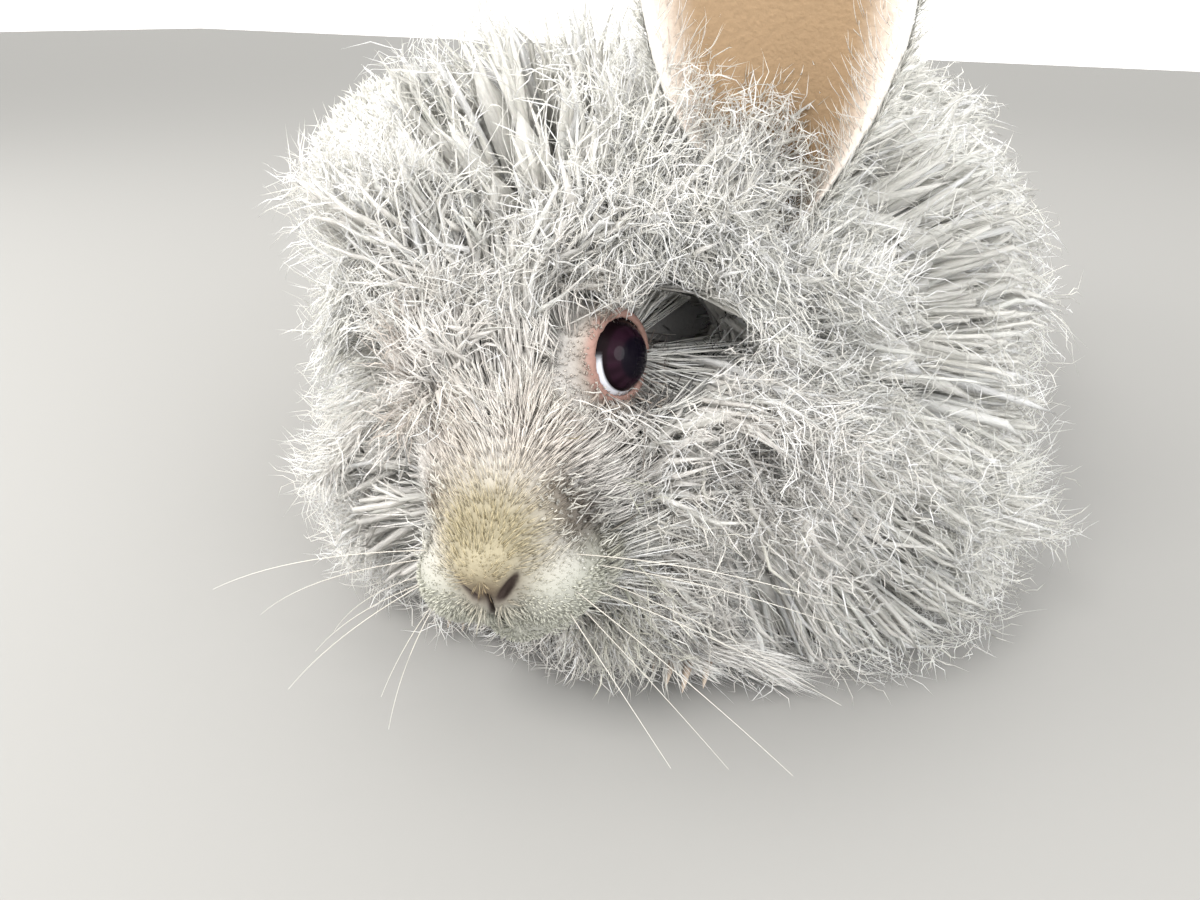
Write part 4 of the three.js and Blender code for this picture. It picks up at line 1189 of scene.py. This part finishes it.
def earHairs(name, seed, look):
    path, facing = ear[name]
    rng = np.random.default_rng(seed)
    n, inside = look["count"], look["inside"]
    t, across = look["spots"](rng, n)
    root = onEar(path, facing, t, across, ear["wall"] / 2 * (-0.8 if inside else 0.8))
    axis = earFrameAt(path, facing, t)[1]
    sheet = onEar(path, facing, t, across, 0)
    rim = unit(onEar(path, facing, t, across * 1.05, 0) - sheet)
    normal = unit(onEar(path, facing, t, across, -3 if inside else 3) - sheet)
    low, cup, more, top = look["long"]
    length = mix(low, cup, ramp(t, 0.2, 0.5)) + more * ramp(t, top, 1)
    size = (length * np.clip(1 + 0.2 * rng.normal(size=n), 0.4, 1.25))[:, None]
    way = unit(axis * look["run"] + rim * look["out"] + 0.25 * rng.normal(size=(n, 3)))
    lift = (0.5 + 0.35 * rng.random(n))[:, None]
    locks = {"root": root, "tip": root + way * size + normal * (size * lift * 0.5),
             "middle": root + way * (size * 0.35) + normal * (size * lift * 0.45)}
    s = np.broadcast_to(np.linspace(0, 1, look["rings"] + 1), (n, look["rings"] + 1))
    paths = bendAt(locks, np.arange(n), s)
    paths = paths + rng.normal(size=s.shape + (3,)) * 0.02 * size[:, None] * s[..., None]
    tone = np.array(tint["wool"]) * ((1.04 if inside else 0.95) + 0.06 * rng.normal(size=(n, 1)))
    width = np.full(n, look["width"])
    tuftPiece(f"{name}_ear_{'inner' if inside else 'outer'}_{seed}", paths, normal, width, width * 0.7,
              np.clip(tone, 0, 0.98), unwrap(root), {**wispLook, "slot": "ear", "rootGreyAndShade": 0.8})


for k, name in enumerate(("left", "right")):
    for look in earFur:
        earHairs(name, look["seed"] + k, look)

# Wool that stands round each ear's root and covers the foot of the cup
earFoot = {"count": 480, "ring": (6, 14), "sunk": (2, 7), "up": (11, 18), "out": (3, 12), "bend": 0.18,
           "depth": 22}


def planEarFoot(name, seed):
    path, facing = ear[name]
    rng = np.random.default_rng(seed)
    n = earFoot["count"]
    foot, axis, front, side = earFrameAt(path, facing, np.zeros(n))
    turn = rng.random(n) * fullTurn
    spoke = front * np.cos(turn)[:, None] + side * np.sin(turn)[:, None]
    ring = rng.uniform(*earFoot["ring"], n)[:, None]
    root = foot + spoke * ring - axis * rng.uniform(*earFoot["sunk"], n)[:, None]
    up = rng.uniform(*earFoot["up"], n)[:, None]
    bend = courseAt(path, np.full(n, earFoot["bend"])) - foot
    out = rng.uniform(*earFoot["out"], n)[:, None]
    tip = foot + spoke * (ring * 1.15 + out) + axis * up + bend * 0.3
    middle = root + axis * (up * 0.75) + spoke * 1.5
    return asLocks(root, middle, tip, unit(spoke + 0.3 * axis), earFoot["depth"], coatColour(tip), rng)


for name, seed, count in (("left", 60, 1200), ("right", 61, 500)):
    locks = drawLocks(f"ear_foot_{name}", planEarFoot(name, seed), {
        "seed": seed, "width": 2.0, "sway": 0.8, "slot": "face_wool", "rootGreyAndShade": 0.95, "thick": 0.45,
        "gather": (6, 0.3, seed)})
    drawWisps(f"ear_foot_wisps_{name}", locks, {
        "seed": seed + 2, "count": count, "start": (0.5, 1.0), "length": 8, "fan": 0.6, "rings": 4,
        "crimp": 0.45, "width": 0.24, "slot": "face_wool"})
print("coat triangles", sum(tally))


def wrapQuads(rows, sides):
    idx = np.arange(rows * sides).reshape(rows, sides)
    nxt = np.roll(idx, -1, axis=1)
    return np.stack([idx[:-1], nxt[:-1], nxt[1:], idx[1:]], -1).reshape(-1, 4)


# Round tapered tubes: whiskers and claws, each coloured from root to tip
def tubePiece(name, curves, radii, sides, tones, material):
    points, quads, colours = [], [], []
    turn = np.linspace(0, 2 * math.pi, sides, endpoint=False)[None, :, None]
    base, tip = (np.array(tone) for tone in tones)
    for curve, radius in zip(curves, radii):
        m = len(curve)
        tangent = unit(np.gradient(curve, axis=0))
        side = unit(np.cross(tangent, vec(0.3, 0.2, 0.93)))
        ring = side[:, None] * np.cos(turn) + np.cross(tangent, side)[:, None] * np.sin(turn)
        quads.append(wrapQuads(m, sides) + m * sides * len(points))
        points.append((curve[:, None] + ring * radius[:, None, None]).reshape(-1, 3))
        colours.append(np.repeat(mix(base, tip, np.linspace(0, 1, m)[:, None]), sides, axis=0))
    piece = quadMesh(name, np.concatenate(points), np.concatenate(quads), np.concatenate(colours))
    dress(piece, material)


whiskers = {
    "rows": [((13.5, 3.5, -1.5), (0.86, -0.30, -0.62), 46), ((14.5, 6, -3.5), (0.92, -0.05, -0.45), 52),
             ((13.0, 5, -6), (0.70, -0.20, -0.80), 40), ((15.5, 9, -1), (0.97, 0.05, -0.25), 56),
             ((15.5, 10, -5), (0.88, 0.10, -0.55), 48), ((14, 8, 2), (0.95, -0.12, 0.05), 50),
             ((11.5, 3, -4), (0.55, -0.50, -0.75), 30)],
    "thick": 0.09, "steps": 14, "sag": (0, 0.12, -0.28), "shares": (1, 0.85, 0.7, 0.55, 0.4),
    "tones": ((0.5, 0.47, 0.42), (0.7, 0.68, 0.63)),
}
claws = {"tones": ((0.16, 0.12, 0.10), (0.52, 0.44, 0.36)),
         "sizes": {"fore": (1.25, 6.5), "hind": (1.5, 8.0)}}
horn = coatMaterial("whisker_horn", 0.5, 0.1)
clawHorn = coatMaterial("claw_horn", 0.35, 0.0)
for name, side in (("left", 1), ("right", -1)):
    rng = np.random.default_rng(70 + side)
    curves, radii = [], []
    t = np.linspace(0, 1, whiskers["steps"])[:, None]
    for root, way, length in whiskers["rows"]:
        way = unit(np.array(way) + 0.08 * rng.normal(size=3))
        sag = vec(*whiskers["sag"]) * length
        length *= 0.9 + 0.2 * rng.random()
        # A whisker that would touch the floor is shorter
        for share in whiskers["shares"]:
            curve = np.array(root) + way * t * length * share + sag * (t * share) ** 2.2
            curve = outOfHead(curve * vec(side, 1, 1))
            if curve[:, 2].min() > 1:
                break
        curves.append(curve)
        radii.append(whiskers["thick"] * (1 - 0.85 * t[:, 0]) ** 0.8 + 0.015)
    tubePiece(f"whiskers_{name}", curves, radii, 6, whiskers["tones"], horn)
for name, side in (("left", 1), ("right", -1)):
    for kind, (x, y, z, r, spread) in zip(("fore", "hind"), bodyForms["toes"]):
        thick, length = claws["sizes"][kind]
        curves, radii = [], []
        for i in range(4):
            off = (i - 1.5) * spread
            t = np.linspace(0, 1, 9)[:, None]
            root = vec(side * x + off, y + 0.12 * off * off + 0.5, z - 0.6)
            arch = vec(0, 0, 1.7 - z) * t ** 1.7 + vec(0, 0, 0.9) * np.sin(t * math.pi)
            curves.append(root + vec(0.08 * off, -length, 0) * t + arch)
            radii.append(thick * (1 - t[:, 0] ** 1.6) ** 0.7 + 0.05)
        tubePiece(f"claws_{kind}_{name}", curves, radii, 10, claws["tones"], clawHorn)
print("whiskers and claws made")

# Eyes: a ball with a raised front, coloured by the angle from its middle
eyeLook = {"pupil": (0.004, 0.003, 0.006), "iris": (0.014, 0.005, 0.010), "rim": (0.006, 0.003, 0.004),
           "white": (0.70, 0.72, 0.78), "bulge": 0.9, "bulgeAngle": 50, "rings": 60, "sides": 72}
wetEye = {"Roughness": 0.06, "IOR": 1.33, "Specular IOR Level": 0.14}
eyeFinish, nodes, links, shader = newMaterial("wet_eye", wetEye)
links.new(attributeIn(nodes, "coat").outputs["Color"], shader.inputs["Base Color"])


def makeEye(name, side):
    rings, sides = eyeLook["rings"], eyeLook["sides"]
    a = np.linspace(0, math.pi, rings)[:, None]
    b = np.linspace(0, 2 * math.pi, sides, endpoint=False)[None]
    direction = flow(np.sin(a) * np.cos(b), np.sin(a) * np.sin(b), np.cos(a))
    turn = np.array(Vector((0, 0, 1)).rotation_difference(Vector(eyeAxis(side))).to_matrix())
    bulgeEdge = math.cos(math.radians(eyeLook["bulgeAngle"]))
    radius = eye["radius"] + eyeLook["bulge"] * ramp(np.cos(a), bulgeEdge, 1)
    points = (direction * radius[..., None]) @ turn.T + eyeCentre(side)
    angle = np.degrees(a) * np.ones_like(b)
    streak = 1 + 0.35 * np.sin(b * 37) * np.sin(b * 23 + 1.3)
    colour = mix(np.array(eyeLook["pupil"]), np.array(eyeLook["iris"]), ramp(angle, 20, 26)[..., None])
    colour = colour * mix(1, streak, ramp(angle, 20, 30))[..., None]
    colour = mix(colour, np.array(eyeLook["rim"]), ramp(angle, 36, 41)[..., None])
    nasal = (direction @ turn.T) @ unit(vec(0, -0.8, -0.6))
    white = ramp(angle, 43.5, 45.5) * ramp(nasal, 0.35, 0.6)
    colour = mix(colour, np.array(eyeLook["white"]), white[..., None])
    outward = wrapQuads(rings, sides)[:, [0, 3, 2, 1]]
    piece = quadMesh(name, outOfHead(points.reshape(-1, 3)), outward, colour.reshape(-1, 3))
    return dress(piece, eyeFinish)


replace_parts(makeEye("eyeball_left", 1), "eye_left")
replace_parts(makeEye("eyeball_right", -1), "eye_right")
print("eyes made")

# Floor, light and camera
bpy.ops.mesh.primitive_plane_add(size=6, location=(0, 0, 0))
floor = bpy.context.object
floor.name = "floor"
floorLook = newMaterial("pale_floor", {"Base Color": (0.24, 0.237, 0.23, 1), "Roughness": 0.7})[0]
floor.data.materials.append(floorLook)

world = bpy.data.worlds.new("studio")
bpy.context.scene.world = world
world.use_nodes = True
setInputs(world.node_tree.nodes["Background"], {"Color": (1.0, 0.99, 0.96, 1), "Strength": 1.65})

studioLights = {
    "key": ((-0.25, -0.55, 0.75), 0.3, 5.5, (1.0, 0.98, 0.95)),
    "fill": ((0.7, -0.5, 0.45), 0.6, 6.0, (0.96, 0.98, 1.0)),
    "left": ((-0.7, -0.35, 0.4), 0.7, 7.0, (1.0, 0.99, 0.97)),
    "back": ((0.2, 0.7, 0.8), 0.6, 1.5, (1.0, 0.98, 0.96)),
}
lightAim = Vector((0, -0.05, 0.06))
for name, (place, size, power, colour) in studioLights.items():
    light = bpy.data.lights.new(name, "AREA")
    light.shape, light.size, light.energy, light.color = "DISK", size, power, colour
    lamp = bpy.data.objects.new(name, light)
    bpy.context.scene.collection.objects.link(lamp)
    lamp.location = place
    lamp.rotation_mode = "QUATERNION"
    lamp.rotation_quaternion = (lightAim - Vector(place)).to_track_quat("-Z", "Y")

view = {"place": (0.060, -0.260, 0.134), "azimuth": 20, "elevation": 27.2, "roll": 1.6, "lens": 26.01}
a, e, r = (math.radians(view[k]) for k in ("azimuth", "elevation", "roll"))
back = Vector((math.sin(a) * math.cos(e), -math.cos(a) * math.cos(e), math.sin(e)))
right = Vector((math.cos(a), math.sin(a), 0))
up = back.cross(right)
imageX = right * math.cos(r) + up * math.sin(r)
imageY = up * math.cos(r) - right * math.sin(r)
cameraData = bpy.data.cameras.new("camera")
cameraData.lens = view["lens"]
cameraData.sensor_width = 36
cameraData.clip_start = 0.005
camera = bpy.data.objects.new("camera", cameraData)
bpy.context.scene.collection.objects.link(camera)
camera.matrix_world = Matrix.Translation(view["place"]) @ Matrix((imageX, imageY, back)).transposed().to_4x4()
bpy.context.scene.camera = camera
bpy.context.scene.view_settings.view_transform = "Standard"
bpy.context.scene.cycles.diffuse_bounces = 4
